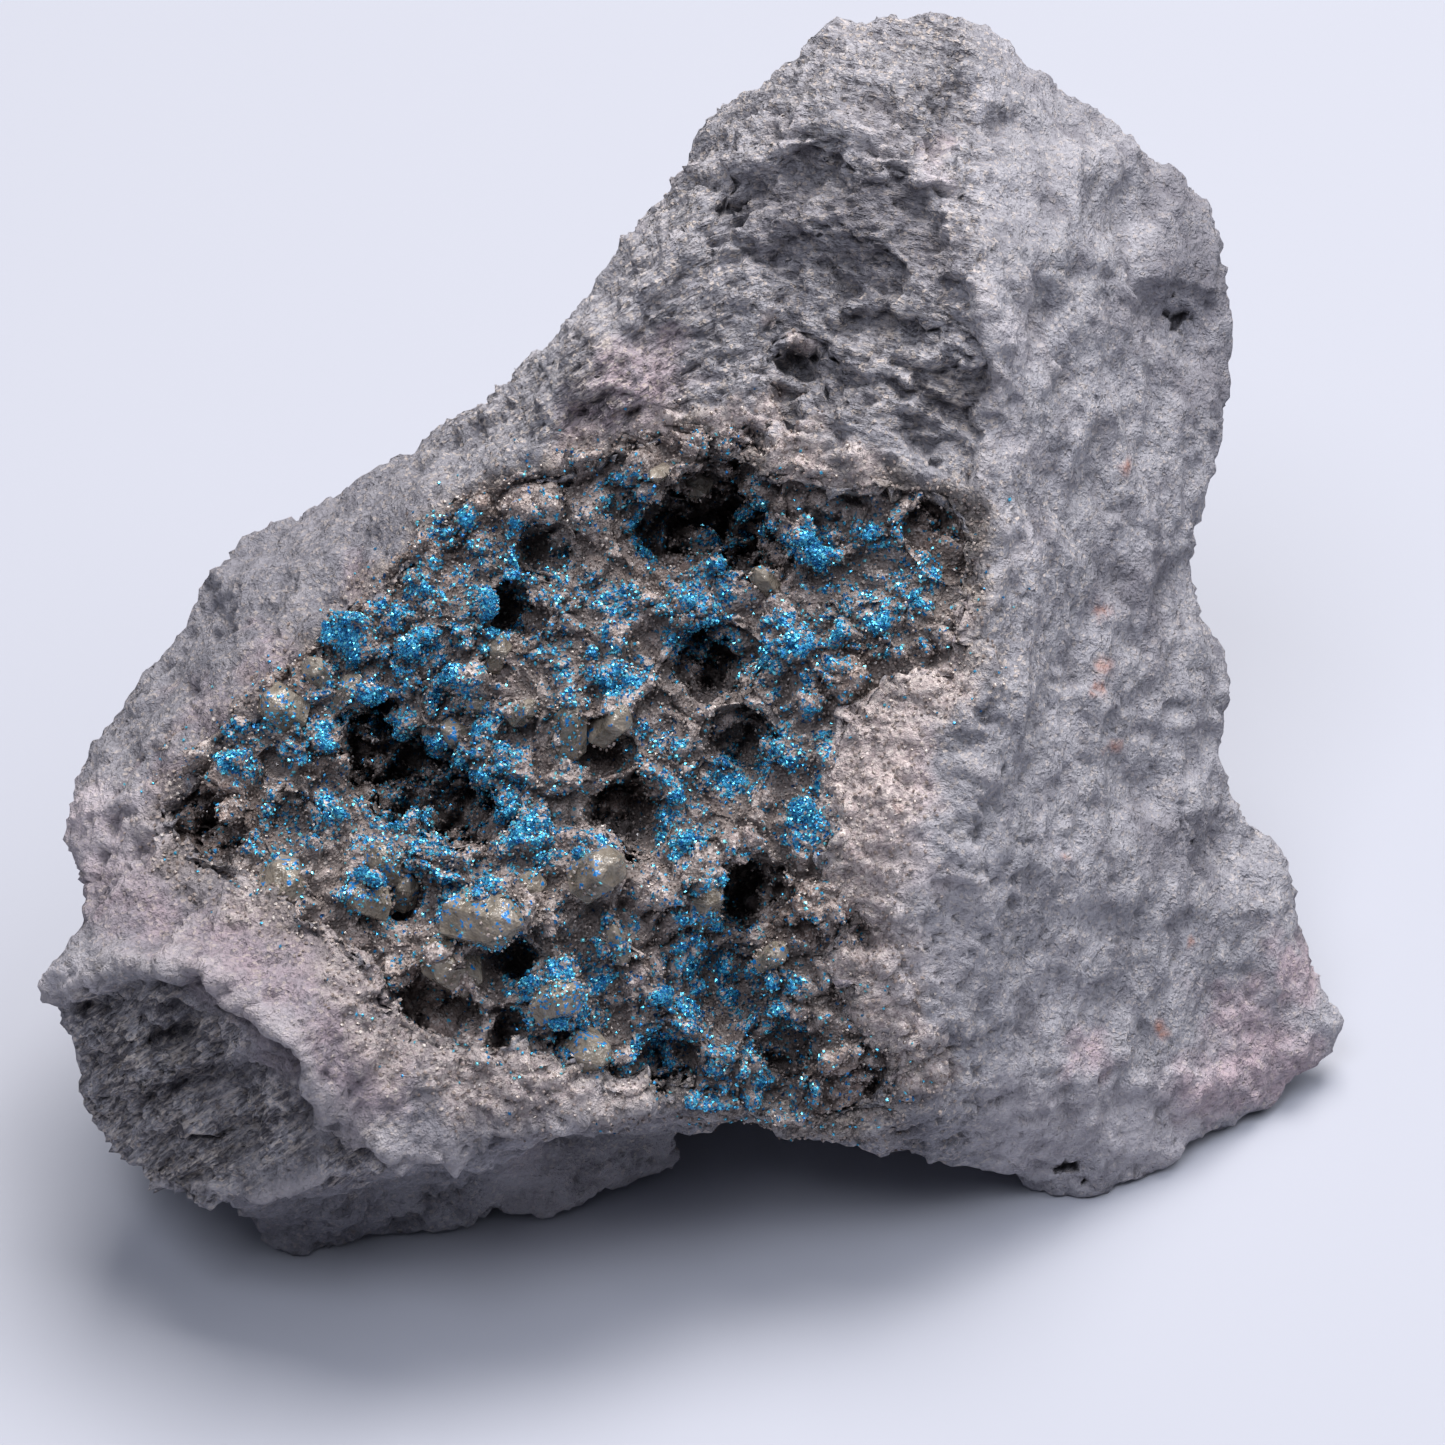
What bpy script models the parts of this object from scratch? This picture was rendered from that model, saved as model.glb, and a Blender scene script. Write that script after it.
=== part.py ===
"""A copper sulphide specimen: one broken lump of grey rock with an open hollow,
and the crust of small crystals that lines the hollow.

Run it with blender --background --python part.py, or from Blender's text editor.

The rock is described the way a collector measures one. The hollow is held face-on
and each point is given in millimetres as (right, up, out): right and up on a sheet of
glass that passes through the middle of the hollow, and out towards the eye. Hidden
points are given on the table instead, as (right, back, high).
"""

import math

import bmesh
import bpy
import numpy as np
from mathutils import Vector, geometry, noise
from mathutils.bvhtree import BVHTree

MM = 0.001

# How the specimen is held while it is measured.
LEAN = math.radians(40.0)  # the line of sight comes down on the table at this angle
SIGHT_DISTANCE = 240.0  # from the eye to the middle of the sheet of glass
GLASS_HEIGHT = 30.1  # the middle of the glass above the table
WORN_OFF = 0.25  # the feet are worn flat up to this height

# The rock's rough skin. Each layer is (size of its lumps, how far they stand out).
SKIN = ((9.0, 0.75), (3.6, 0.5), (1.9, 0.28))
SKIN_SEED = Vector((3.7, 1.9, 8.4))
ROCK_VOXEL = 0.7
ROCK_TRIANGLES = 5500
LEDGE_FADE = 2.2  # how far from its line a ledge fades out
OUTLINE_STEP = 1.0  # how closely the skin is compared with the outline
OUTLINE_PULL = 1.5  # how far in from the outline the skin is drawn out with its edge
OUTLINE_HOLD = 0.4  # how firmly the skin further in stays, against the pull of one spot
OUTLINE_ROUNDS = 4

# The hollow and its crust.
HOLLOW_DEPTH = 6.2  # from the level of the crust to the bare rock, away from the rim
HOLLOW_RIM_DEPTH = 2.2  # the same, at the rim
HOLLOW_SLOPE = 3.5  # how far in from the rim the full depth is reached
WALL_CLEARANCE = 0.5  # between the crust and the rock, at the rim
UNDER_CLEARANCE = 1.6  # the same, under the crust
CRUST_GRID = 0.85
CUTTER_GRID = 1.8
CRUST_TRIANGLES = 3300
CRUST_LEAST = 0.7  # the thinnest the crust gets, at the bottom of a pit
CUTTER_REACH = 9.0  # how far the cutter of the hollow stands out in front

ROCK_COLOUR = (0.18, 0.17, 0.19)
CRUST_COLOUR = (0.05, 0.16, 0.27)

# The edge of the rock as the eye sees it, clockwise from the left of the summit.
OUTLINE = (
    (0.0, 30.4, -12.0), (2.6, 32.2, -12.0), (4.4, 34.5, -12.0), (5.8, 35.1, -12.0),
    (9.2, 35.1, -12.5), (13.9, 35.3, -14.0), (14.2, 34.0, -14.0), (16.6, 32.2, -14.5),
    (20.8, 29.2, -15.5), (23.8, 26.9, -16.5), (24.7, 25.5, -17.0), (25.5, 23.7, -17.5),
    (25.2, 21.1, -17.0), (25.7, 16.1, -17.0), (24.9, 13.1, -16.5), (23.5, 7.3, -15.0),
    (23.8, 5.2, -15.2), (25.4, 1.5, -17.0), (25.5, 0.0, -17.0), (24.6, -1.2, -16.5),
    (25.6, -3.7, -17.5), (27.9, -6.3, -19.5), (28.3, -8.6, -20.0), (30.2, -12.7, -21.5),
    (31.1, -14.8, -22.0), (30.9, -16.2, -22.5), (27.0, -19.9, -20.5), (24.0, -21.0, -18.5),
    (19.9, -23.8, -17.0), (16.2, -24.1, -16.6), (12.9, -22.6, -13.0), (7.6, -21.5, -8.0),
    (5.3, -21.2, -6.0), (2.6, -20.5, -4.5), (0.0, -20.0, -3.5), (-0.6, -21.4, -16.5),
    (-3.9, -23.3, -16.0), (-8.5, -24.8, -14.6), (-14.0, -25.5, -13.8), (-18.6, -26.2, -13.3),
    (-21.2, -27.3, -12.9), (-23.0, -26.4, -12.8), (-24.5, -24.7, -11.6), (-25.4, -24.3, -2.6),
    (-28.7, -24.5, -3.0), (-29.7, -23.3, -3.6), (-31.3, -21.2, -8.5), (-32.1, -19.6, -9.5),
    (-32.7, -17.0, -9.0), (-33.7, -13.9, -4.2), (-33.9, -12.9, -3.6), (-33.3, -11.3, -4.0),
    (-31.9, -8.9, -6.0), (-32.4, -7.4, -8.0), (-33.1, -3.5, -12.0), (-30.8, 0.0, -14.0),
    (-29.2, 2.7, -14.5), (-26.9, 5.0, -15.0), (-26.2, 7.3, -15.5), (-24.8, 9.2, -16.0),
    (-22.3, 9.5, -16.0), (-18.3, 12.2, -15.0), (-14.7, 14.3, -14.5), (-11.7, 16.5, -14.0),
    (-8.2, 19.5, -13.5), (-6.6, 21.8, -13.0), (-5.5, 24.4, -13.0), (-2.7, 26.9, -12.5),
)

# Ridges and folds of the side that faces the eye. Each is one unbroken line.
FRONT_LINES = {
    "summit rim": (
        (0.4, 28.1, -5.5), (3.9, 31.1, -5.2), (7.4, 32.4, -5.4), (10.9, 32.1, -6.2),
        (13.9, 29.6, -6.6), (15.0, 27.1, -6.6),
    ),
    "spine between the hollow's face and the right flank": (
        (8.4, 29.8, -3.8), (10.9, 26.6, -3.0), (12.6, 23.1, -2.4), (13.8, 19.5, -2.2),
        (13.9, 15.0, -2.0), (13.2, 11.0, -1.6), (12.8, 6.5, -1.2), (12.6, 2.0, -0.8),
        (12.7, -2.5, -0.4), (12.0, -7.0, -0.4), (10.4, -11.5, -1.0), (9.4, -15.5, -1.8),
        (9.6, -19.0, -3.6),
    ),
    "shoulder just right of the spine": (
        (15.2, 24.0, -4.8), (15.9, 14.0, -4.8), (15.2, 4.0, -3.6), (15.4, -5.0, -3.8),
        (14.4, -12.0, -4.4), (13.6, -18.0, -6.4),
    ),
    "fold down the right flank": (
        (17.5, 28.0, -9.0), (19.2, 22.0, -9.4), (19.2, 15.0, -9.2), (18.4, 8.0, -8.2),
        (18.2, 1.0, -7.8), (19.0, -6.0, -9.0), (20.8, -12.0, -11.4), (22.8, -17.5, -14.6),
    ),
    "crest above the hollow, down to the left": (
        (0.4, 28.1, -5.5), (-0.4, 25.6, -5.0), (-3.5, 22.0, -4.6), (-6.5, 18.9, -4.4),
        (-8.8, 15.6, -4.2), (-12.6, 11.6, -4.6), (-16.6, 7.8, -4.6), (-20.3, 4.2, -4.4),
        (-24.0, 0.9, -4.0), (-27.2, -1.6, -4.0), (-30.4, -4.4, -5.4),
    ),
    "upper rim of the hollow": (
        (-12.6, 11.6, -4.6), (-9.3, 12.2, -3.6), (-6.3, 13.6, -3.0), (-3.2, 14.6, -2.8),
        (0.6, 14.4, -2.8), (4.0, 12.5, -2.4), (7.5, 12.1, -2.0), (10.5, 11.7, -1.8),
        (13.2, 11.0, -1.6),
    ),
    "ridge of the lower left wedge": (
        (-33.9, -12.9, -3.6), (-30.8, -12.4, -1.4), (-27.7, -11.7, 1.8), (-26.1, -12.3, 2.6),
        (-24.4, -13.7, 3.2), (-21.6, -15.8, 3.9), (-20.2, -18.6, 3.4), (-17.1, -20.7, 2.2),
        (-16.1, -22.2, 0.8),
    ),
    "groove above the wedge": ((-28.8, -10.4, -1.6), (-26.4, -8.8, -1.4), (-24.6, -7.0, -1.6)),
    "lower left edge of the dark face": (
        (-33.7, -13.9, -4.2), (-31.3, -17.1, -3.4), (-29.3, -20.1, -3.2), (-29.7, -23.3, -3.6),
    ),
    "front lip": (
        (-25.4, -24.3, -2.6), (-21.1, -23.2, -1.2), (-16.1, -22.2, 0.8), (-12.6, -21.4, 1.0),
        (-10.1, -20.7, 0.8), (-7.1, -20.0, 0.4), (-4.1, -19.3, -0.4), (-1.6, -19.2, -1.8),
        (0.0, -20.0, -3.5),
    ),
    "where the lower lump comes out from under the lip": (
        (-24.5, -24.7, -11.6), (-20.9, -24.0, -10.5), (-16.0, -23.1, -10.5),
        (-12.4, -22.2, -11.0), (-9.9, -21.5, -11.5), (-6.9, -20.8, -12.5),
        (-4.0, -20.2, -13.5), (-1.6, -20.3, -15.0), (-0.6, -21.4, -16.5),
    ),
}

# Single points of the side that faces the eye.
FRONT_POINTS = {
    "streaked face over the hollow": (
        (4.0, 25.5, -3.9), (6.5, 20.0, -3.3), (0.5, 20.0, -3.9), (-3.0, 17.0, -3.6),
        (8.5, 15.5, -2.5), (2.8, 15.8, -3.0),
    ),
    "level of the crust in the hollow": (
        (-12.0, 8.0, -4.0), (-7.0, 9.5, -4.4), (-2.0, 10.0, -5.4), (0.5, 9.0, -5.6),
        (4.0, 9.0, -3.8), (9.0, 8.0, -2.8), (-16.0, 4.0, -3.8), (-11.0, 4.0, -3.0),
        (-6.0, 5.0, -3.0), (-1.0, 5.0, -3.2), (4.0, 4.5, -2.4), (9.0, 4.0, -1.6),
        (-20.0, 0.0, -3.6), (-15.0, -1.5, -4.2), (-10.0, 0.0, -2.4), (-5.0, 0.0, -2.6),
        (0.0, 1.0, -3.0), (4.0, 0.0, -1.2), (-24.0, -3.5, -3.2), (-18.0, -4.5, -3.2),
        (-12.0, -4.5, -2.6), (-6.0, -4.0, -1.8), (0.0, -4.0, -1.6), (3.0, -6.0, -0.6),
        (-20.0, -7.0, -0.5), (-16.0, -7.0, -0.6), (-11.0, -8.0, 0.6), (-6.0, -8.0, 0.4),
        (-1.0, -8.0, -0.4), (-14.0, -11.5, 0.8), (-9.0, -12.0, 1.0), (-4.0, -12.0, 0.0),
        (0.0, -12.5, -2.2), (4.0, -13.0, -1.6), (-7.0, -15.5, 0.8), (-2.0, -16.0, -0.8),
        (2.0, -17.0, -2.6), (6.0, -17.0, -2.6),
    ),
    "pale sugary bulge between the hollow and the spine": (
        (7.5, -1.0, -0.6), (8.5, -5.0, 0.2), (8.0, -9.0, 0.2), (6.5, -12.5, -0.6),
    ),
    "wedge": ((-22.5, -10.5, 1.6), (-19.5, -13.5, 2.6), (-16.5, -17.5, 2.4), (-11.0, -18.5, 1.6)),
    "pink rim on the left": ((-29.5, -6.5, -3.4), (-31.0, -10.0, -3.4)),
    "dark face": (
        (-30.0, -15.5, -2.4), (-26.0, -16.5, -0.9), (-24.0, -20.0, -1.6),
        (-27.0, -21.5, -2.9), (-20.5, -21.0, -0.4),
    ),
    "lower lump": ((-20.0, -25.4, -11.6), (-14.0, -24.2, -12.2), (-8.0, -23.1, -13.2)),
}

# Hidden points, on the table: (right, back, high).
HIDDEN_POINTS = {
    "foot under the lower lump": ((-20.0, -3.0, -0.3), (-23.0, 0.5, 2.2), (-16.0, -0.5, 0.4)),
    "foot under the right flank": ((18.5, 2.0, -0.5), (14.0, 1.0, 1.2), (22.5, 4.0, 0.8)),
    "foot at the back": ((6.0, 27.0, -0.4), (-4.0, 24.0, -0.3), (3.0, 19.0, -0.2), (10.0, 21.0, 0.9)),
    "arch between the feet": (
        (-27.0, 0.0, 6.0), (-12.0, -1.0, 2.0), (-14.0, 6.0, 2.4), (-5.0, 1.5, 1.4),
        (-1.0, 3.5, 2.0), (3.5, 3.0, 5.0), (0.0, 9.0, 3.4), (10.0, 7.0, 3.6),
        (10.0, -1.0, 6.0), (-8.0, 14.0, 2.6), (16.0, 12.0, 2.6),
    ),
    "left end": ((-27.5, 4.0, 13.0), (-26.0, 13.0, 16.0), (-24.0, 10.0, 8.0), (-20.0, 12.0, 3.0)),
    "back wall": (
        (-14.0, 24.0, 14.0), (-9.0, 22.0, 5.0), (0.0, 32.0, 16.0), (2.0, 30.5, 5.5),
        (13.0, 35.0, 19.0), (12.0, 29.0, 6.0), (-7.0, 26.5, 27.0), (6.0, 35.5, 31.0),
        (16.0, 36.0, 35.0), (10.0, 36.5, 42.0),
    ),
    "right end": (
        (22.5, 31.0, 29.0), (25.0, 26.0, 15.0), (23.0, 20.0, 3.0), (27.5, 12.0, 4.5),
        (25.3, 16.0, 13.0), (30.0, 9.5, 4.5),
    ),
}

# Ledges of the broken faces, as (right, up, right, up, how far the upper side stands out).
# The rock stands out above the line from the first spot to the second, and falls away below it.
LEDGES = (
    (0.6, 28.0, 5.5, 28.6, 0.9), (5.5, 28.2, 10.6, 26.2, 0.7), (-0.6, 24.6, 3.4, 23.4, 0.6),
    (3.6, 24.2, 7.6, 23.4, 0.7), (7.2, 23.4, 11.6, 21.6, 0.8), (5.6, 21.0, 9.4, 20.0, 0.7),
    (9.6, 19.8, 13.2, 18.2, 0.8), (5.6, 17.8, 9.6, 17.2, 0.6), (9.8, 16.6, 13.2, 14.9, 0.8),
    (-4.4, 20.6, -0.4, 18.6, 0.6), (-7.8, 16.6, -3.6, 14.9, 0.6), (6.2, 14.6, 11.4, 13.6, 0.5),
    (-32.5, -15.6, -27.5, -14.4, 0.7), (-30.6, -18.4, -25.0, -17.2, 0.7),
    (-28.9, -21.4, -23.0, -20.6, 0.6), (-24.4, -15.6, -20.9, -18.8, 0.6),
    (10.6, 33.2, 14.6, 30.4, 0.6), (-24.6, -9.4, -19.8, -11.0, 0.5),
    (16.8, 22.6, 24.4, 20.6, 0.7), (16.4, 12.6, 24.0, 11.4, 0.5), (17.4, 1.6, 24.0, 0.4, 0.6),
    (17.6, -9.6, 27.4, -9.9, 0.6), (14.6, -17.0, 25.4, -18.8, 0.5), (-14.8, -20.4, -6.4, -19.2, 0.4),
)

# Pits of the bare rock, as (right, up, radius, depth).
ROCK_PITS = (
    (4.1, 18.0, 1.0, 2.2), (3.4, 16.4, 0.9, 1.8), (1.7, 14.9, 0.9, 1.8), (22.5, 20.2, 1.3, 1.3),
    (17.1, -22.2, 1.0, 1.0), (15.4, 19.8, 1.0, 0.9), (22.6, 7.0, 1.5, 1.1), (25.6, -7.4, 1.5, 1.0),
    (18.8, 13.4, 1.2, 0.8), (19.6, 25.0, 1.4, 0.9), (17.4, 4.6, 1.1, 0.7), (20.6, -3.4, 1.3, 0.8),
    (24.2, -13.6, 1.4, 0.9), (17.0, -13.2, 1.2, 0.7), (-31.5, -14.2, 1.2, 1.0),
    (-27.4, -16.2, 1.2, 0.9), (-25.2, -19.4, 1.2, 0.9), (-29.0, -22.4, 1.1, 0.8),
    (0.2, 26.0, 0.9, 1.2), (11.6, -16.4, 1.1, 0.6), (7.0, -10.6, 1.0, 0.9), (-26.6, 1.4, 1.3, 0.8),
)

# The edge of the hollow, clockwise from its upper left corner.
HOLLOW = (
    (-13.0, 10.4), (-9.5, 11.6), (-6.5, 12.9), (-3.0, 14.0), (0.2, 13.8), (2.6, 12.0),
    (7.0, 11.4), (10.0, 11.1), (12.0, 10.3), (12.2, 8.0), (11.3, 6.0), (11.6, 3.2),
    (8.5, 2.2), (5.6, 0.5), (4.6, -3.0), (4.4, -7.0), (6.2, -9.4), (5.2, -11.6),
    (5.6, -13.6), (7.6, -16.0), (8.6, -17.8), (8.0, -19.2), (5.0, -19.4), (2.4, -18.9),
    (0.0, -18.2), (-3.5, -17.9), (-7.5, -17.2), (-9.8, -16.4), (-13.0, -16.2),
    (-15.5, -15.2), (-16.6, -13.3), (-17.6, -11.8), (-19.6, -10.4), (-21.6, -9.6),
    (-23.6, -7.4), (-27.0, -6.6), (-27.6, -4.6), (-25.9, -2.3), (-23.3, 0.4),
    (-20.0, 3.3), (-16.4, 6.8),
)

# Lumps of the crust, as (right, up, radius, how far the top stands out).
KNOBS = (
    (-14.6, 5.6, 1.7, 1.4), (-16.9, 4.1, 1.5, 1.1), (-12.6, 5.1, 1.7, 1.4),
    (-10.1, 8.1, 1.7, 1.2), (-19.1, 4.0, 1.2, 0.6), (-21.1, 1.6, 1.3, 0.9),
    (-18.6, 1.1, 1.5, 1.3), (-15.6, 1.8, 1.5, 1.4), (-23.7, -1.4, 1.3, 1.1),
    (-21.3, -0.6, 1.4, 1.2), (-15.0, -0.4, 1.3, 1.5), (-12.1, -1.9, 2.0, 2.0),
    (-8.1, 6.1, 1.7, 1.1), (-6.1, 3.4, 1.8, 1.3), (-9.6, 3.4, 1.7, 1.1),
    (-9.3, 1.0, 1.2, 1.4), (-13.0, 2.9, 1.3, 0.9), (-5.5, 0.4, 1.3, 1.5),
    (-11.4, 1.1, 1.2, 0.9), (-1.4, 5.2, 1.7, 1.9), (-4.1, 6.6, 1.4, 0.9),
    (-0.4, 7.9, 1.3, 1.6), (2.9, 6.1, 1.5, 1.1), (3.7, 3.7, 1.8, 1.6),
    (6.1, 6.1, 1.4, 1.0), (6.1, 3.6, 1.4, 0.9), (8.9, 6.2, 1.6, 1.2),
    (8.4, 4.1, 1.4, 1.1), (10.3, 4.6, 1.6, 0.8), (6.4, 9.1, 1.4, 1.3),
    (3.9, 9.0, 1.4, 1.3), (8.1, 9.6, 1.2, 0.8), (10.2, 8.0, 1.4, 1.0),
    (-3.5, 2.2, 1.3, 0.9), (-5.1, 8.9, 1.7, 1.0), (-7.7, 9.8, 1.5, 0.8),
    (-1.5, 12.0, 1.8, 3.2), (-3.4, 12.3, 1.3, 2.2), (2.1, 10.2, 1.2, 1.9),
    (1.1, 1.5, 1.4, 1.1), (-0.8, -0.2, 1.3, 1.0), (2.8, -1.2, 1.5, 0.8),
    (-2.4, -2.4, 1.5, 1.0), (-4.1, -1.8, 1.3, 0.9), (-7.4, -2.8, 1.3, 0.8),
    (-9.9, -3.4, 1.8, 1.2), (-9.1, -6.1, 1.6, 1.0), (-2.1, -5.6, 1.6, 0.8),
    (1.4, -5.4, 1.7, 0.7), (-14.1, -6.4, 2.0, 1.5), (-16.3, -10.8, 1.1, 0.9),
    (-22.0, -7.8, 2.2, 0.9),
    (-18.6, -5.0, 1.9, 1.0), (-21.6, -3.4, 1.6, 0.9), (-24.4, -4.0, 1.4, 0.9),
    (-8.1, -13.9, 2.2, 1.7), (-5.2, -11.1, 1.3, 2.1), (-3.6, -13.6, 1.5, 0.9),
    (-1.4, -15.2, 1.9, 1.6), (-4.0, -16.2, 1.5, 1.0), (0.9, -17.2, 1.5, 2.0),
    (2.4, -12.6, 1.6, 1.6), (4.0, -14.6, 1.4, 1.1), (3.6, -9.2, 1.6, 1.0),
    (4.6, -17.9, 1.3, 1.3), (6.6, -16.6, 1.3, 0.9), (-11.3, -14.2, 1.4, 0.9),
)

# Larger crystals of the crust, as (right, up, radius, how far the top stands out, turn, tilt).
# Each has six steep flat sides and one sloping flat top, which is lowest where its tilt points.
CRYSTALS = (
    (-7.5, 0.6, 1.6, 2.4, 12.0, 250.0), (-11.0, -9.6, 2.5, 2.9, 40.0, 300.0),
    (-14.1, -11.9, 2.2, 2.5, 5.0, 160.0), (-6.1, -7.4, 2.2, 2.4, 25.0, 200.0),
    (-1.2, -8.6, 2.0, 1.8, 50.0, 280.0), (-18.0, -8.6, 1.6, 1.6, 30.0, 190.0),
    (-21.9, 1.0, 1.5, 1.3, 15.0, 120.0), (-5.2, -11.2, 1.3, 2.4, 0.0, 40.0),
)
CRYSTAL_STEEPNESS = 2.6  # rise of a side over its run
CRYSTAL_TOP_SLOPE = 0.45

# Holes of the crust, as (right, up, radius, depth).
PITS = (
    (-2.6, 9.6, 1.5, 2.2), (-0.4, 10.6, 1.7, 5.0), (1.2, 9.2, 1.3, 4.6),
    (-10.7, 5.5, 0.9, 2.6), (-8.9, 8.7, 0.8, 2.0), (-0.5, 3.0, 1.4, 4.4),
    (-17.2, -1.4, 1.4, 2.6), (-15.4, -2.8, 1.6, 3.4), (-13.6, -4.3, 1.5, 3.2),
    (0.9, -0.9, 1.1, 2.6), (-5.1, -4.7, 1.4, 2.6), (1.3, -8.6, 1.2, 4.4),
    (-26.0, -5.3, 1.3, 2.4), (-21.6, -5.2, 0.9, 1.4), (-16.3, -9.0, 1.0, 2.4),
    (-14.4, -14.2, 1.5, 3.0), (-10.3, -12.1, 0.9, 2.4), (-10.8, -16.0, 0.9, 1.8),
    (-2.9, -17.0, 1.0, 3.6), (11.0, 9.6, 1.1, 2.4), (5.4, 10.0, 0.9, 2.0),
    (0.4, -2.9, 0.8, 1.8), (0.4, -13.4, 1.6, 2.2), (3.0, -16.2, 1.1, 2.0),
    (-6.2, -1.4, 1.0, 1.8), (8.4, -18.4, 0.9, 1.2),
)


def from_glass(right, up, out):
    """The place in space, in millimetres, of a point measured through the glass."""
    spread = 1.0 - out / SIGHT_DISTANCE
    raised = up * spread
    back = raised * math.sin(LEAN) - out * math.cos(LEAN)
    high = raised * math.cos(LEAN) + out * math.sin(LEAN) + GLASS_HEIGHT
    return Vector((right * spread, back, high))


def onto_glass(right, back, high):
    """The reverse of from_glass: a point of space as (right, up, out)."""
    lifted = high - GLASS_HEIGHT
    raised = back * math.sin(LEAN) + lifted * math.cos(LEAN)
    out = lifted * math.sin(LEAN) - back * math.cos(LEAN)
    spread = 1.0 - out / SIGHT_DISTANCE
    return Vector((right / spread, raised / spread, out))


def pairs(count, ring=False):
    """Edges that join points in their order, and the last to the first in a ring."""
    edges = [(i, i + 1) for i in range(count - 1)]
    return edges + [(count - 1, 0)] if ring else edges


def triangulated(ring, lines, points):
    """A sheet of triangles inside a ring, on the glass, that keeps each line as edges."""
    corners = list(ring)
    edges = pairs(len(ring), ring=True)
    for line in lines:
        start = len(corners)
        corners += line
        edges += [(start + a, start + b) for a, b in pairs(len(line))]
    corners += points
    flat = [Vector(corner[:2]) for corner in corners]
    inside_only = 1
    made = geometry.delaunay_2d_cdt(flat, edges, [], inside_only, 1e-4)
    sources = made[3]
    if not all(sources):
        raise ValueError("two lines of the sheet cross")
    return [Vector(corners[source[0]]) for source in sources], made[2]


def distances_to_ring(points, ring):
    """How far each point is from a ring on the glass, in millimetres."""
    starts = np.array(ring, float)
    steps = np.roll(starts, -1, axis=0) - starts
    from_start = points[:, None, :] - starts[None, :, :]
    share = (from_start * steps).sum(2) / (steps * steps).sum(1)
    nearest = from_start - np.clip(share, 0.0, 1.0)[..., None] * steps
    return np.sqrt((nearest * nearest).sum(2)).min(1)


def inside_ring(points, ring):
    """Whether each point is inside a ring on the glass."""
    a = np.array(ring, float)
    b = np.roll(a, -1, axis=0)
    x, y = points[:, 0, None], points[:, 1, None]
    straddles = (a[:, 1] > y) != (b[:, 1] > y)
    rise = np.where(a[:, 1] == b[:, 1], 1.0, b[:, 1] - a[:, 1])
    crossing = a[:, 0] + (y - a[:, 1]) * (b[:, 0] - a[:, 0]) / rise
    return (straddles & (x < crossing)).sum(1) % 2 == 1


def inset_ring(ring, by):
    """A clockwise ring moved inwards."""
    corners = [Vector(corner) for corner in ring]
    moved = []
    for before, corner, after in zip(corners[-1:] + corners[:-1], corners, corners[1:] + corners[:1]):
        along = (after - before).normalized()
        moved.append(corner + Vector((along.y, -along.x)) * by)
    return moved


def fine_ring(ring, step):
    """The same ring with a point at least every step."""
    corners = [Vector(corner) for corner in ring]
    points = []
    for corner, after in zip(corners, corners[1:] + corners[:1]):
        count = max(1, round((after - corner).length / step))
        points += [corner.lerp(after, i / count) for i in range(count)]
    return points


def matte(name, colour, roughness):
    """A material with one colour."""
    material = bpy.data.materials.new(name)
    material.use_nodes = True
    shader = material.node_tree.nodes["Principled BSDF"]
    shader.inputs["Base Color"].default_value = (*colour, 1.0)
    shader.inputs["Roughness"].default_value = roughness
    shader.inputs["Metallic"].default_value = 0.0
    return material


def add_object(name, mesh):
    """An object in the scene for a mesh."""
    made = bpy.data.objects.new(name, mesh)
    bpy.context.scene.collection.objects.link(made)
    return made


def mesh_of(name, places, faces):
    """A mesh in metres from places in millimetres, welded and with its faces pointing out."""
    sculpt = bmesh.new()
    corners = [sculpt.verts.new(place * MM) for place in places]
    for face in faces:
        sculpt.faces.new([corners[i] for i in face])
    bmesh.ops.remove_doubles(sculpt, verts=sculpt.verts, dist=1e-7)
    bmesh.ops.recalc_face_normals(sculpt, faces=sculpt.faces)
    mesh = bpy.data.meshes.new(name)
    sculpt.to_mesh(mesh)
    sculpt.free()
    return mesh


def applied(thing):
    """Replaces an object's mesh by what its modifiers make of it."""
    bpy.context.view_layer.update()
    graph = bpy.context.evaluated_depsgraph_get()
    mesh = bpy.data.meshes.new_from_object(thing.evaluated_get(graph))
    thing.modifiers.clear()
    thing.data = mesh
    return thing


def thinned(thing, triangles):
    """Collapses an object's mesh to a number of triangles."""
    thing.data.calc_loop_triangles()
    decimate = thing.modifiers.new("thinned", "DECIMATE")
    decimate.ratio = min(1.0, triangles / len(thing.data.loop_triangles))
    decimate.use_collapse_triangulate = True
    return applied(thing)


def front_sheet():
    """The side that faces the eye, as points on the glass and triangles."""
    points = [point for group in FRONT_POINTS.values() for point in group]
    return triangulated(OUTLINE, FRONT_LINES.values(), points)


def hidden_sheet():
    """The back and the underside, measured through the rock on to the same glass."""
    points = [tuple(onto_glass(*point)) for group in HIDDEN_POINTS.values() for point in group]
    return triangulated(OUTLINE, [], points)


def skin_heights(places):
    """How far the rock's skin stands out at each place, in millimetres."""
    heights = []
    for place in places:
        height = 0.0
        for size, reach in SKIN:
            height += reach * noise.fractal(Vector(place) / size + SKIN_SEED, 0.7, 2.1, 2)
        heights.append(height)
    return np.array(heights)


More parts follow.
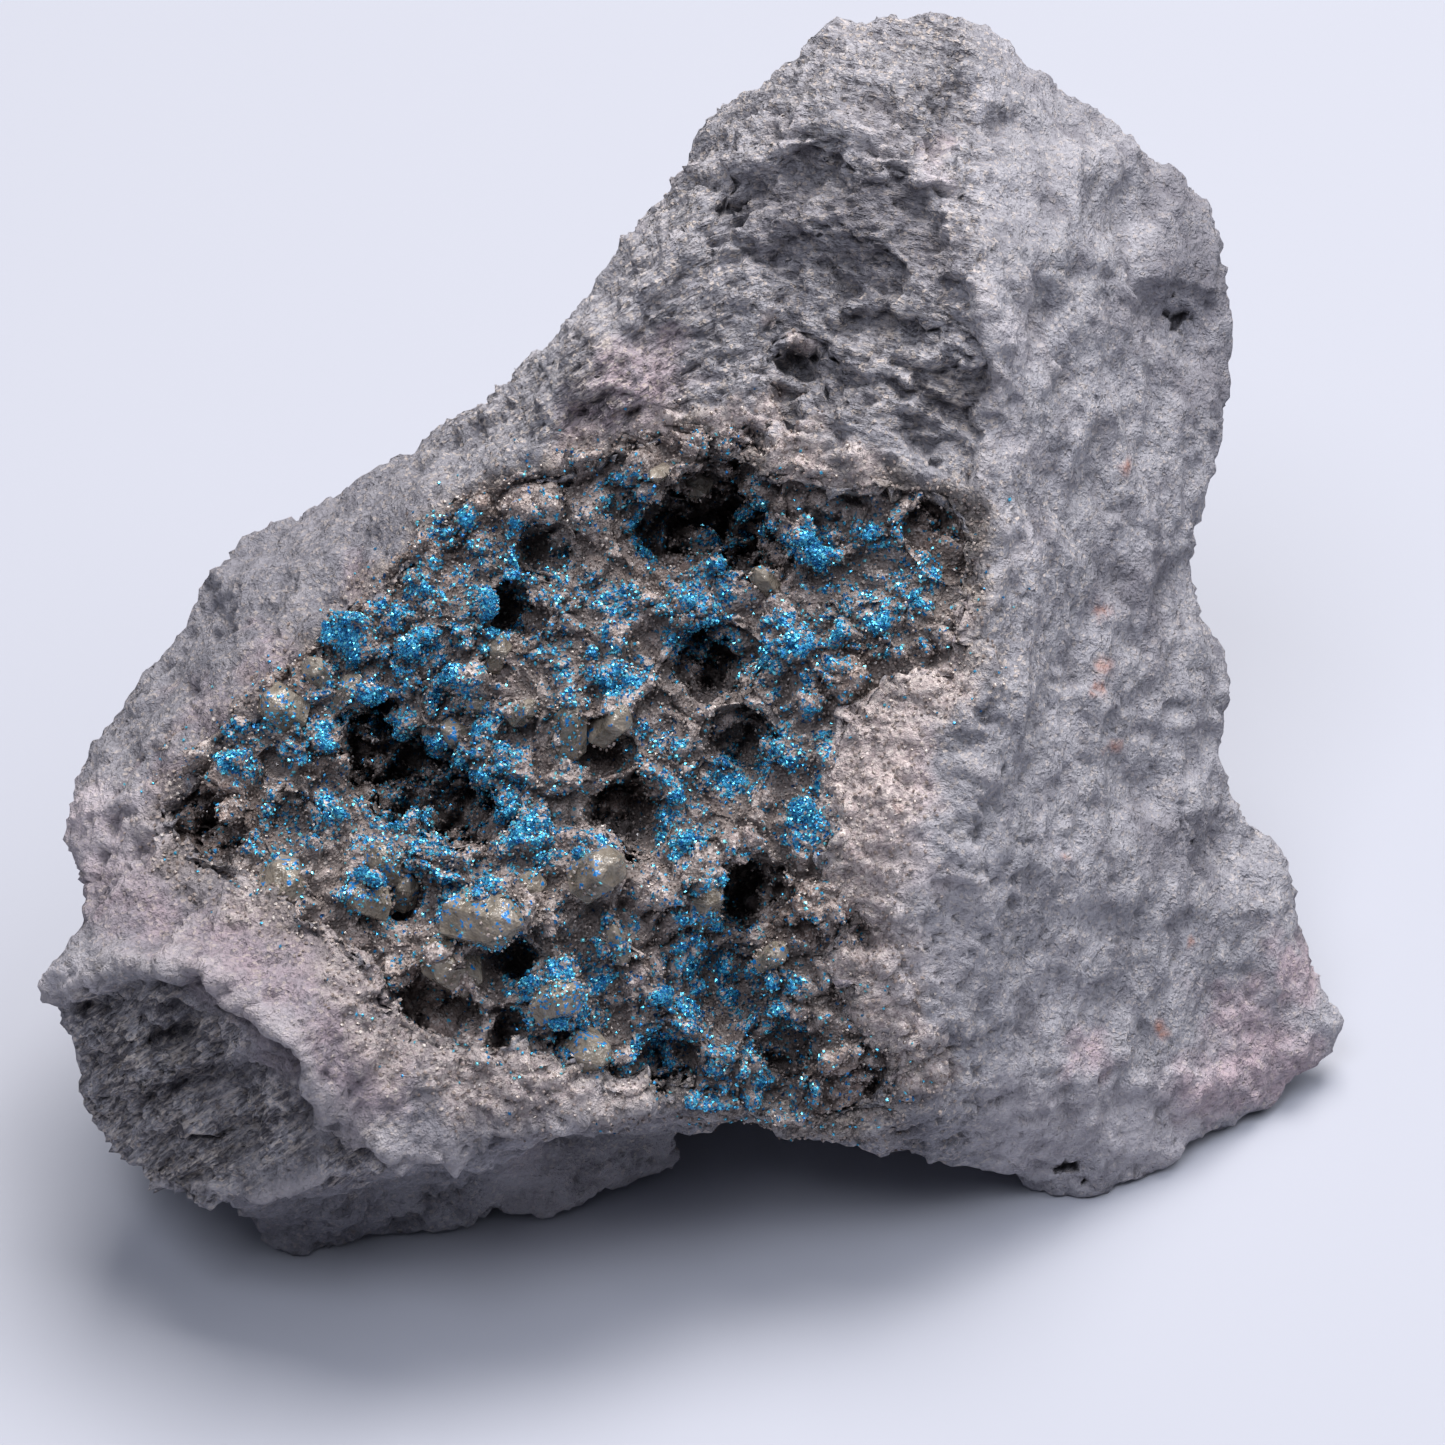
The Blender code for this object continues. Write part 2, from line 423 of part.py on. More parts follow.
def ledge_heights(spots):
    """How far the ledges stand out towards the eye at each spot of the glass."""
    heights = np.zeros(len(spots))
    for right, up, right_end, up_end, reach in LEDGES:
        along = np.array((right_end - right, up_end - up))
        length = np.linalg.norm(along)
        along = along / length
        from_start = spots - (right, up)
        travelled = from_start @ along
        above = from_start @ np.array((-along[1], along[0]))
        beyond = np.maximum(np.maximum(-travelled, travelled - length), 0.0)
        fade = np.exp(-np.abs(above) / LEDGE_FADE) * np.exp(-((beyond / 1.2) ** 2))
        heights += reach * np.clip(above / 0.5, -1.0, 1.0) * fade
    return heights


def dent_depths(spots, dents):
    """How deep a list of (right, up, radius, depth) dents is at each spot of the glass."""
    depths = np.zeros(len(spots))
    for right, up, radius, depth in dents:
        share = 1.0 - ((spots - (right, up)) ** 2).sum(1) / (1.35 * radius) ** 2
        depths = np.maximum(depths, depth * np.clip(share, 0.0, 1.0) ** 0.6)
    return depths


def evened(rock, rounds):
    """Turns an object's mesh into one closed skin of small even faces, a little worn."""
    remesh = rock.modifiers.new("even skin", "REMESH")
    remesh.mode = "VOXEL"
    remesh.voxel_size = ROCK_VOXEL * MM
    smooth = rock.modifiers.new("worn edges", "SMOOTH")
    smooth.factor = 0.5
    smooth.iterations = rounds
    return applied(rock)


def drawn_out(places):
    """Draws the skin out to the outline again, where the wearing of its edges has drawn it in."""
    ring = np.array(fine_ring([corner[:2] for corner in OUTLINE], OUTLINE_STEP))
    glass = np.array([onto_glass(*place) for place in places])
    for _ in range(OUTLINE_ROUNDS):
        spots = glass[:, :2]
        squares = ((spots[:, None, :] - ring[None, :, :]) ** 2).sum(2)
        gaps = ring - spots[squares.argmin(0)]
        pull = np.exp(-squares / (2.0 * OUTLINE_PULL**2))
        glass[:, :2] = spots + (pull @ gaps) / (pull.sum(1) + OUTLINE_HOLD)[:, None]
    return np.array([from_glass(*point) for point in glass])


def rough_rock():
    """The whole lump with its feet worn flat, before the hollow is cut in it."""
    front, front_faces = front_sheet()
    hidden, hidden_faces = hidden_sheet()
    places = [from_glass(*point) for point in front + hidden]
    shift = len(front)
    faces = front_faces + [[i + shift for i in face] for face in hidden_faces]
    rock = add_object("matrix", mesh_of("matrix", places, faces))
    evened(rock, 2)

    places = np.array([vertex.co for vertex in rock.data.vertices]) / MM
    normals = np.array([vertex.normal for vertex in rock.data.vertices])
    sight = np.array((0.0, -math.cos(LEAN), math.sin(LEAN)))
    spots = np.array([onto_glass(*place)[:2] for place in places])
    facing = np.clip((normals @ sight) / 0.3, 0.0, 1.0)
    towards = facing * (ledge_heights(spots) - dent_depths(spots, ROCK_PITS))
    places += normals * skin_heights(places)[:, None] + sight * towards[:, None]
    for vertex, place in zip(rock.data.vertices, drawn_out(places)):
        vertex.co = Vector(place) * MM
    evened(rock, 1)
    thinned(rock, ROCK_TRIANGLES)
    return worn_flat(rock)


def worn_flat(rock):
    """Cuts the feet of the rock off at one height, and closes them with flat faces."""
    sculpt = bmesh.new()
    sculpt.from_mesh(rock.data)
    everything = sculpt.verts[:] + sculpt.edges[:] + sculpt.faces[:]
    level = Vector((0.0, 0.0, WORN_OFF * MM))
    bmesh.ops.bisect_plane(
        sculpt, geom=everything, dist=1e-8, plane_co=level, plane_no=(0.0, 0.0, 1.0), clear_inner=True
    )
    bmesh.ops.remove_doubles(sculpt, verts=sculpt.verts, dist=5e-6)
    rim = [edge for edge in sculpt.edges if edge.is_boundary]
    bmesh.ops.triangle_fill(sculpt, edges=rim, use_beauty=True, normal=(0.0, 0.0, -1.0))
    bmesh.ops.triangulate(sculpt, faces=sculpt.faces)
    bmesh.ops.recalc_face_normals(sculpt, faces=sculpt.faces)
    sculpt.to_mesh(rock.data)
    sculpt.free()
    return rock


def crust_level(tree, spot):
    """The level of the crust at a spot of the glass, read off the front sheet."""
    above = Vector((spot[0], spot[1], 100.0))
    return tree.ray_cast(above, Vector((0.0, 0.0, -1.0)))[0].z


def hollow_floor(spots, levels):
    """How far out the crust's underside is at each spot."""
    share = np.clip(distances_to_ring(spots, HOLLOW) / HOLLOW_SLOPE, 0.0, 1.0)
    share = share * share * (3.0 - 2.0 * share)
    return levels - HOLLOW_RIM_DEPTH - (HOLLOW_DEPTH - HOLLOW_RIM_DEPTH) * share


def crystal_heights(spots):
    """How far the larger crystals stand out at each spot of the glass."""
    heights = np.zeros(len(spots))
    for right, up, radius, reach, turn, tilt in CRYSTALS:
        from_middle = spots - (right, up)
        lowest = math.radians(tilt)
        top = reach - CRYSTAL_TOP_SLOPE * (from_middle @ (math.cos(lowest), math.sin(lowest)))
        for side in range(6):
            angle = math.radians(turn + 60.0 * side)
            inwards = radius - from_middle @ (math.cos(angle), math.sin(angle))
            top = np.minimum(top, inwards * CRYSTAL_STEEPNESS)
        heights = np.maximum(heights, top)
    return heights


def crust_top(spots, levels, floor):
    """How far out the crust's lumpy face is at each spot."""
    raised = np.zeros(len(spots))
    for right, up, radius, reach in KNOBS:
        share = 1.0 - ((spots - (right, up)) ** 2).sum(1) / radius**2
        raised = np.maximum(raised, reach * np.sqrt(np.clip(share, 0.0, 1.0)))
    raised = np.maximum(raised, crystal_heights(spots))
    rim = np.clip(distances_to_ring(spots, HOLLOW) / 1.6, 0.0, 1.0)
    return np.maximum(levels - 0.35 + raised * rim - dent_depths(spots, PITS), floor + CRUST_LEAST)


def slab(name, ring, grid, face, underside):
    """A closed slab that fills a ring of the glass, between two functions of the spot."""
    box = np.array(ring, float)
    rights = np.arange(box[:, 0].min(), box[:, 0].max(), grid)
    ups = np.arange(box[:, 1].min(), box[:, 1].max(), grid * math.sqrt(0.75))
    spots = np.array([(r + 0.5 * grid * (row % 2), u) for row, u in enumerate(ups) for r in rights])
    kept = inside_ring(spots, ring) & (distances_to_ring(spots, ring) > 0.5 * grid)
    edge = [(*corner, 0.0) for corner in fine_ring(ring, grid)]
    corners, faces = triangulated(edge, [], [(*spot, 0.0) for spot in spots[kept]])

    spots = np.array([corner[:2] for corner in corners])
    places = [from_glass(*spot, out) for spot, out in zip(spots, face(spots))]
    places += [from_glass(*spot, out) for spot, out in zip(spots, underside(spots))]
    count = len(spots)
    closed = [tuple(corner) for corner in faces]
    closed += [tuple(count + i for i in reversed(corner)) for corner in faces]
    sides = {(a, b) for corner in faces for a, b in zip(corner, corner[1:] + corner[:1])}
    closed += [(b, a, count + a, count + b) for a, b in sorted(sides) if (b, a) not in sides]
    return add_object(name, mesh_of(name, places, closed))


def to_origin(pieces):
    """Moves the pieces so that the middle of their footprint is the origin; gives the move."""
    places = np.array([vertex.co for piece in pieces for vertex in piece.data.vertices])
    least, most = places.min(0), places.max(0)
    middle = Vector(((least[0] + most[0]) / 2, (least[1] + most[1]) / 2, least[2]))
    for piece in pieces:
        for vertex in piece.data.vertices:
            vertex.co -= middle
    return middle


def build():
    """Makes the two pieces and sets them on the table."""
    for old in list(bpy.data.objects):
        bpy.data.objects.remove(old)

    corners, faces = front_sheet()
    tree = BVHTree.FromPolygons([tuple(corner) for corner in corners], faces)

    def levels(spots):
        return np.array([crust_level(tree, spot) for spot in spots])

    def floor(spots):
        return hollow_floor(spots, levels(spots))

    def lumps(spots):
        return crust_top(spots, levels(spots), floor(spots))

    rock = rough_rock()
    cutter = slab(
        "hollow cutter",
        HOLLOW,
        CUTTER_GRID,
        lambda spots: levels(spots) + CUTTER_REACH,
        lambda spots: floor(spots) - UNDER_CLEARANCE,
    )
    hollow = rock.modifiers.new("hollow", "BOOLEAN")
    hollow.operation = "DIFFERENCE"
    hollow.solver = "EXACT"
    hollow.object = cutter
    applied(rock)
    bpy.data.objects.remove(cutter)

    crust = slab("crystal_crust", inset_ring(HOLLOW, WALL_CLEARANCE), CRUST_GRID, lumps, floor)
    thinned(crust, CRUST_TRIANGLES)

    rock.data.materials.clear()
    rock.data.materials.append(matte("grey rock", ROCK_COLOUR, 0.9))
    crust.data.materials.clear()
    crust.data.materials.append(matte("blue and brown crystals", CRUST_COLOUR, 0.45))
    return to_origin((rock, crust))


MOVED = build()
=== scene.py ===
import math

import bmesh
import bpy
import numpy as np
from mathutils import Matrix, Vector, noise
from mathutils.bvhtree import BVHTree


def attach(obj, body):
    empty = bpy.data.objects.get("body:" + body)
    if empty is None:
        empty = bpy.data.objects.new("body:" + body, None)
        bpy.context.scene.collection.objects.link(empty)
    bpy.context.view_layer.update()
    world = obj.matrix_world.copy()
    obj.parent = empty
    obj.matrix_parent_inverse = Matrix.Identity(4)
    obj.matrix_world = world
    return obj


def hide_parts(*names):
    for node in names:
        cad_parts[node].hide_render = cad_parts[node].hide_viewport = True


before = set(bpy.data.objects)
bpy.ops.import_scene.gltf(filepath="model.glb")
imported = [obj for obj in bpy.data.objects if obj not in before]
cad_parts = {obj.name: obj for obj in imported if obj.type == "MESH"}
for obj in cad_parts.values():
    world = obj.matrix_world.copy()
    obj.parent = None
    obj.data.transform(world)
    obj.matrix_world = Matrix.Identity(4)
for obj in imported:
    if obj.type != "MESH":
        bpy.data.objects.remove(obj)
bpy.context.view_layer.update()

# How the specimen is measured: right, up and out on a sheet of glass in front of the hollow, in
# millimetres, as in the source of the solids. The glass leans back, square to the eye.
LEAN = math.radians(40.0)
SIGHT_DISTANCE = 240.0
GLASS_HEIGHT = 30.1
FOOTPRINT_MIDDLE = np.array((-0.364, 11.048, 0.25))
PICTURE_WIDTH = 72.25  # what the picture takes in, side to side, on the glass
MM = 0.001
SIGHT = np.array((0.0, -math.cos(LEAN), math.sin(LEAN)))  # the way out of the glass, to the eye

# The fine surface.
ROCK_VOXEL = 0.30
CRUST_VOXEL = 0.18
RIM_REACH = 1.5  # how far from the hollow's edge the rock falls away to the crust
RIM_FALL = 0.9
CRUST_SPREAD = 1.5  # how far the crust's edge is drawn out under the rock
ROCK_TRIANGLES = 196000
CRUST_TRIANGLES = 175000
FLANK_START = 12.5  # to the right of this the rock is its even right flank
UPPER_START = 12.0  # above this, to the left of the flank, the rock is layered
DEEP_HOLE = 1.5  # from this depth on a hole has the full painted shade in its colour
QUARTZ_BENDS_LIGHT = 1.54  # index of refraction
BEFORE_THE_ROCK = 60.0  # further out than any part of the specimen

# The edge of the hollow, clockwise from its upper left corner.
HOLLOW = (
    (-13.0, 10.4), (-9.5, 11.6), (-6.5, 12.9), (-3.0, 14.0), (0.2, 13.8), (2.6, 12.0),
    (7.0, 11.4), (10.0, 11.1), (12.0, 10.3), (12.2, 8.0), (11.3, 6.0), (11.6, 3.2),
    (8.5, 2.2), (5.6, 0.5), (4.6, -3.0), (4.4, -7.0), (6.2, -9.4), (5.2, -11.6),
    (5.6, -13.6), (7.6, -16.0), (8.6, -17.8), (8.0, -19.2), (5.0, -19.4), (2.4, -18.9),
    (0.0, -18.2), (-3.5, -17.9), (-7.5, -17.2), (-9.8, -16.4), (-13.0, -16.2),
    (-15.5, -15.2), (-16.6, -13.3), (-17.6, -11.8), (-19.6, -10.4), (-21.6, -9.6),
    (-23.6, -7.4), (-27.0, -6.6), (-27.6, -4.6), (-25.9, -2.3), (-23.3, 0.4),
    (-20.0, 3.3), (-16.4, 6.8),
)

# Patches as (right, up, radius). Those from PINK to RUST colour the rock, and BLUE and BROWN the
# crust. Among the rock's, the patches of shade and light between DARK and RUST are painted shade
# and painted light. The PALE ones have sugary lumps too, and the DARK ones are layered.
PINK = (
    (-4.0, 17.0, 2.2), (-2.6, 18.6, 1.2), (-6.6, 14.9, 1.4), (-30.0, -7.5, 2.8),
    (-31.2, -5.0, 2.0), (-28.5, -9.6, 1.8), (-24.4, -10.8, 2.6), (-22.4, -12.6, 2.8),
    (-20.2, -14.8, 2.6), (-17.8, -17.8, 2.2), (27.4, -17.4, 2.8), (24.6, -18.4, 2.0),
    (25.4, -14.4, 1.4), (18.4, -16.8, 1.2), (-22.4, 2.6, 1.6), (-25.2, 0.2, 1.6),
    (-17.8, 6.6, 1.2), (28.6, -12.4, 1.4), (-28.0, -3.2, 1.5), (10.6, 28.6, 0.9),
    (8.4, -2.6, 2.2), (8.6, -7.0, 1.8),
)
PALE = (
    (7.0, -3.0, 3.4), (7.4, -7.4, 2.8), (7.6, -11.6, 2.2), (8.4, -14.6, 1.6), (7.6, 0.2, 2.2),
    (-3.0, 14.9, 1.2), (0.6, 14.6, 1.1), (3.8, 13.2, 1.4), (7.2, 12.4, 1.1), (-7.2, 13.6, 1.0),
    (-18.4, -12.2, 1.9), (-16.2, -15.4, 2.3), (-12.8, -17.6, 2.3), (-9.2, -18.2, 2.0),
    (-5.2, -18.5, 1.3), (10.4, 2.4, 1.8), (11.6, 5.6, 1.1), (5.0, -11.6, 1.4), (3.6, 19.4, 0.7),
    (2.4, 16.0, 0.9), (10.2, -17.6, 1.4), (6.0, -17.0, 1.6), (-23.6, -8.8, 1.2), (11.7, 8.4, 0.8),
)
DARK = (
    (-30.4, -15.6, 2.8), (-28.0, -17.5, 4.0), (-26.6, -20.8, 3.6), (-23.0, -19.6, 2.4),
    (-30.0, -19.6, 2.6), (-25.4, -16.0, 1.8), (-18.6, -21.6, 1.6), (-28.2, -23.0, 2.0),
    (11.0, 16.4, 1.8), (9.6, 19.6, 1.6), (-6.2, 17.2, 1.4), (11.2, 9.4, 1.4),
)
# Patches of painted shade: the rock is darkened here as if it were in shadow.
PAINTED_SHADE_PATCHES = (
    (-10.0, -20.2, 2.0), (-14.5, -20.6, 2.0), (-6.0, -19.8, 1.6), (-18.6, -20.2, 1.6), (9.5, -19.2, 1.5),
    (-2.6, -19.4, 1.0), (3.0, 25.4, 2.4), (7.4, 25.2, 2.3), (10.6, 23.2, 1.5), (24.2, 22.4, 2.6),
    (22.6, 27.0, 2.2), (-26.8, -9.4, 0.8), (-25.2, -7.6, 0.8), (21.0, 20.5, 2.0), (24.0, 17.0, 2.0),
    (20.5, 7.0, 1.8), (22.5, -6.0, 2.2),
)
# Patches of painted light: the rock is lightened here as if it caught more light.
PAINTED_LIGHT_PATCHES = (
    (-30.4, -5.0, 2.6), (-32.8, -12.8, 1.2), (-8.0, -23.8, 3.2), (-3.0, -22.6, 2.4), (9.4, -11.4, 1.6),
    (3.4, 29.4, 1.2), (7.6, 29.5, 1.6), (10.6, 27.8, 1.2), (9.6, -7.8, 1.8), (9.8, -12.0, 2.2),
    (16.0, -20.4, 3.2), (21.0, -20.0, 2.8), (14.8, 19.0, 1.0), (14.6, 14.0, 1.0), (14.8, 8.6, 1.0),
)
RUST = (
    (19.1, 5.5, 0.35), (19.0, 2.7, 0.45), (18.7, 1.6, 0.3), (19.6, -1.4, 0.25), (21.8, -15.4, 0.3),
    (23.4, -11.2, 0.25), (6.0, -9.6, 0.3), (8.6, -4.2, 0.25), (20.2, 12.8, 0.25), (17.2, -6.6, 0.25),
)
BLUE = (
    (-3.8, 9.5, 1.0), (-0.5, 8.3, 1.2), (-1.3, 5.2, 1.7), (2.8, 3.4, 1.7), (4.6, 3.9, 1.4),
    (6.0, 6.6, 1.2), (-8.6, 3.7, 1.2), (-6.8, 3.2, 1.3), (-5.0, 2.7, 1.2), (-7.6, 6.9, 1.2),
    (-5.6, 6.3, 1.1), (-10.5, 8.3, 1.6), (-11.9, 5.2, 1.7), (-7.5, 0.9, 1.0), (-13.6, -1.7, 2.9),
    (-15.2, 6.0, 1.7), (-16.6, 4.6, 1.4), (-18.9, 4.1, 1.3), (-15.3, 3.0, 1.7), (-17.6, 1.2, 1.5),
    (-19.2, 1.0, 1.2), (-15.3, 1.3, 1.5), (-21.6, -0.4, 1.2), (-20.5, -1.0, 1.0), (-23.8, -1.2, 1.3),
    (-15.4, -5.6, 2.0), (-17.7, -8.6, 1.3), (-12.8, -8.8, 1.6), (-6.4, -6.8, 1.0), (-5.3, -10.4, 1.1),
    (-8.1, -14.2, 2.4), (-0.6, -9.4, 1.5), (-2.2, -14.6, 1.8), (-0.4, -12.8, 2.0), (1.9, -13.4, 1.5),
    (-0.1, -18.0, 2.1), (-3.4, -16.1, 1.2), (0.1, -16.5, 1.0), (3.2, -18.6, 1.1), (-11.4, -3.4, 1.8),
    (-9.6, -6.0, 1.4), (7.6, 9.6, 1.2), (9.6, 6.8, 1.4), (8.4, 4.4, 1.2), (1.4, 10.2, 0.9),
    (-5.0, 11.2, 1.0), (-2.4, -5.2, 1.4), (-1.8, -3.2, 1.2), (0.8, -2.6, 1.2), (-3.4, -1.4, 1.2),
    (3.6, -1.0, 1.4), (4.2, -4.4, 1.3), (-19.6, -4.4, 1.4), (-22.4, -5.2, 1.4), (-10.6, -12.2, 1.2),
    (-6.4, -12.4, 1.1), (3.4, -16.0, 1.0), (-12.4, 7.6, 1.1), (-13.6, 10.0, 1.0), (4.4, 8.6, 1.2),
)
BROWN = (
    (-18.4, 5.6, 2.0), (-15.0, 8.0, 2.2), (-12.0, 10.0, 1.6), (-2.8, 8.4, 2.2), (0.0, 10.0, 2.4),
    (11.0, 9.0, 1.8), (-24.6, -4.6, 2.2), (-26.2, -5.6, 1.4), (-21.4, 3.0, 1.6), (-10.0, 4.8, 1.4),
    (6.4, 2.4, 1.6), (-14.6, -13.6, 2.0), (-19.8, -1.2, 1.8), (3.4, -9.4, 1.8), (5.4, -18.0, 1.8),
    (-17.0, -2.6, 2.2), (-4.6, -2.8, 1.6), (-13.0, -5.0, 1.6),
)

# Holes, nearly black to the eye through their depth and painted shade, as (right, up, radius).
HOLES = (
    (-0.6, 10.8, 1.5), (1.2, 9.2, 1.2), (-2.8, 9.6, 0.8), (1.7, 7.6, 0.7), (-10.7, 5.5, 0.7),
    (-8.9, 8.7, 0.7),
    (-0.6, 2.9, 1.1), (-17.4, -1.2, 1.4), (-15.6, -2.9, 1.5), (-13.4, -4.4, 1.4), (0.9, -0.9, 0.8),
    (-5.1, -4.8, 1.0), (1.2, -8.7, 0.9), (2.9, -8.2, 0.6), (-26.1, -5.4, 1.0), (-15.2, -14.8, 0.6),
    (-16.3, -9.2, 0.5), (-10.3, -12.1, 0.5), (-11.0, -16.0, 0.7), (-2.9, -17.6, 0.9), (11.2, 9.7, 0.8),
    (5.4, 10.0, 0.6), (4.1, 18.2, 0.8), (3.3, 16.5, 0.6), (1.7, 14.3, 0.7), (3.2, 15.3, 0.4),
    (22.5, 20.2, 0.5), (17.1, -22.2, 0.6), (0.3, 26.0, 0.6), (-8.2, -16.2, 0.7), (3.4, -16.9, 0.7),
    (7.4, -18.4, 0.6), (-17.2, -13.6, 0.4), (-7.6, 12.2, 0.5), (6.9, -10.7, 0.6),
)

# Ledges of the rock, as (right, up, right end, up end, how far the edge stands out, fade). Seen from
# its start, the left side of the line stands out and the right side falls back. A number below
# nought for the edge turns this round.
LEDGES = (
    (-0.8, 27.4, 4.2, 28.4, 0.4, 0.8), (4.2, 28.4, 9.0, 27.6, 0.4, 0.9), (9.0, 27.6, 11.2, 25.0, 0.4, 0.9),
    (11.2, 25.0, 12.8, 21.6, 0.3, 0.8), (-1.6, 24.0, 0.6, 28.8, 0.25, 0.8),
    (-0.4, 24.6, 3.6, 24.0, 0.15, 0.5),
    (3.6, 24.2, 8.0, 22.6, 0.2, 0.5), (5.2, 20.6, 9.8, 19.8, 0.4, 0.7), (8.6, 21.8, 12.8, 20.2, 0.4, 0.7),
    (9.2, 18.6, 13.2, 17.2, 0.6, 0.8), (8.6, 17.0, 12.8, 15.8, 0.5, 0.7), (9.0, 15.4, 13.0, 14.0, 0.5, 0.7),
    (5.0, 18.2, 8.8, 17.2, 0.4, 0.7), (-8.6, 15.2, -5.0, 19.4, 0.4, 1.0), (-4.6, 20.2, -1.2, 23.6, 0.4, 0.9),
    (-14.2, 13.0, -10.2, 17.2, 0.4, 1.0), (-20.4, 7.2, -16.4, 12.0, 0.35, 1.0),
    (-33.6, -14.0, -28.2, -12.4, 0.6, 1.3), (-28.2, -12.4, -25.8, -13.2, 0.6, 1.3),
    (-25.8, -13.2, -21.8, -16.6, 0.8, 1.5), (-21.8, -16.6, -20.2, -19.4, 0.8, 1.5),
    (-20.2, -19.4, -16.4, -21.6, 0.6, 1.3), (-32.0, -16.6, -27.2, -15.2, 0.5, 0.8),
    (-30.4, -18.6, -25.0, -17.4, 0.5, 0.8), (-29.4, -20.8, -23.6, -20.0, 0.5, 0.8),
    (-28.4, -22.6, -21.6, -21.9, 0.4, 0.8), (-26.6, -14.6, -23.4, -17.8, 0.4, 0.8),
    (10.6, 33.0, 14.4, 30.2, 0.5, 1.2),
    (-29.0, -23.6, -22.0, -23.4, 0.5, 1.0), (-22.0, -23.4, -14.4, -21.7, 0.5, 1.0),
    (-14.4, -21.7, -7.6, -20.3, 0.5, 1.0), (-7.6, -20.3, -2.4, -19.2, 0.5, 1.0),
    (-22.8, -6.8, -27.7, -11.4, 0.7, 1.1),
    (15.6, 22.2, 16.6, 17.4, -0.5, 0.7), (16.8, 22.6, 24.4, 20.6, -0.3, 2.0),
    (17.4, 1.6, 24.0, 0.4, -0.25, 2.0), (12.8, 21.6, 13.4, 17.4, 0.5, 0.8),
    (13.4, 17.2, 13.0, 12.6, 0.6, 0.8),
    (13.0, 12.4, 13.5, 9.0, 0.45, 0.8),
)

# Sharp crests of the rock, each a row of (right, up) along it.
CRESTS = (
    ((-29.0, -2.4), (-24.6, 2.2), (-20.6, 6.2), (-15.6, 10.8), (-11.2, 14.2), (-7.6, 17.6), (-4.0, 21.4),
     (-1.2, 25.2), (0.8, 28.4)),
    ((11.2, 25.0), (12.8, 21.6), (13.3, 17.0), (12.9, 12.6), (13.4, 8.6), (13.0, 4.0), (12.3, -1.0),
     (12.6, -7.0), (12.2, -13.0), (11.6, -18.0)),
    ((-33.8, -13.2), (-30.8, -12.4), (-27.9, -11.6), (-26.1, -12.5), (-24.4, -13.9), (-21.7, -15.9),
     (-20.3, -18.7), (-17.1, -20.8)),
    ((-28.8, -24.2), (-24.4, -23.8), (-21.1, -23.0), (-16.1, -22.0), (-12.6, -21.2), (-10.1, -20.5),
     (-7.1, -19.8), (-4.1, -19.2)),
)

# Larger crystals that stand in the crust, as
# (right, up, radius, length, lean to the right, lean up, turn), lengths in mm, leans in degrees.
LARGE_CRYSTALS = (
    (-7.6, -0.2, 0.85, 3.2, 4.0, 58.0, 10.0), (-5.4, 0.0, 0.95, 2.6, 42.0, 36.0, 40.0),
    (-22.2, 0.9, 1.3, 2.4, -45.0, 35.0, 20.0), (-11.6, -9.9, 1.6, 4.0, 55.0, -18.0, 5.0),
    (-13.9, -12.0, 1.4, 3.2, -38.0, 30.0, 30.0), (-6.0, -7.4, 1.3, 3.0, 42.0, 26.0, 50.0),
    (-17.1, -6.8, 1.0, 2.6, -30.0, 40.0, 15.0), (-15.8, -8.3, 0.8, 2.2, 20.0, 42.0, 45.0),
    (-0.9, -8.8, 1.1, 2.6, 18.0, 46.0, 25.0), (-5.3, -10.9, 0.6, 2.6, -14.0, 48.0, 0.0),
    (-18.0, -8.8, 1.0, 2.6, -46.0, 18.0, 35.0), (-12.3, 1.0, 0.8, 2.2, -40.0, 24.0, 55.0),
    (-9.8, 0.6, 0.6, 2.0, 34.0, 30.0, 12.0), (-6.6, -16.6, 1.1, 2.4, 36.0, -34.0, 33.0),
    (-22.0, -7.9, 1.5, 2.6, -32.0, 46.0, 48.0), (-1.4, 12.0, 0.9, 2.8, 24.0, -40.0, 18.0),
    (-3.2, 12.4, 0.45, 1.8, -32.0, -20.0, 8.0), (-1.2, 4.4, 0.7, 2.2, 20.0, 32.0, 28.0),
    (-13.4, -0.6, 0.9, 2.4, -38.0, 20.0, 3.0), (-8.0, -13.8, 1.2, 2.8, 40.0, 24.0, 22.0),
    (-18.6, 1.6, 0.9, 2.4, 36.0, 40.0, 17.0), (-20.4, 2.6, 0.8, 2.0, -20.0, 40.0, 37.0),
    (-11.2, 3.6, 0.8, 2.2, 20.0, 50.0, 27.0), (2.0, 7.2, 0.7, 2.0, -30.0, 34.0, 7.0),
    (-9.6, -8.2, 0.9, 2.4, 30.0, 44.0, 41.0), (2.6, -11.6, 0.7, 2.2, 34.0, 30.0, 13.0),
)


def from_glass(glass):
    """Places in space, in the solids' frame, of points measured on the glass."""
    right, up, out = glass[:, 0], glass[:, 1], glass[:, 2]
    spread = 1.0 - out / SIGHT_DISTANCE
    raised = up * spread
    back = raised * math.sin(LEAN) - out * math.cos(LEAN)
    high = raised * math.cos(LEAN) + out * math.sin(LEAN) + GLASS_HEIGHT
    return np.stack([right * spread, back, high], 1) - FOOTPRINT_MIDDLE


def onto_glass(places):
    """The reverse of from_glass."""
    moved = places + FOOTPRINT_MIDDLE - (0.0, 0.0, GLASS_HEIGHT)
    raised = moved[:, 1] * math.sin(LEAN) + moved[:, 2] * math.cos(LEAN)
    out = moved[:, 2] * math.sin(LEAN) - moved[:, 1] * math.cos(LEAN)
    spread = 1.0 - out / SIGHT_DISTANCE
    return np.stack([moved[:, 0] / spread, raised / spread, out], 1)


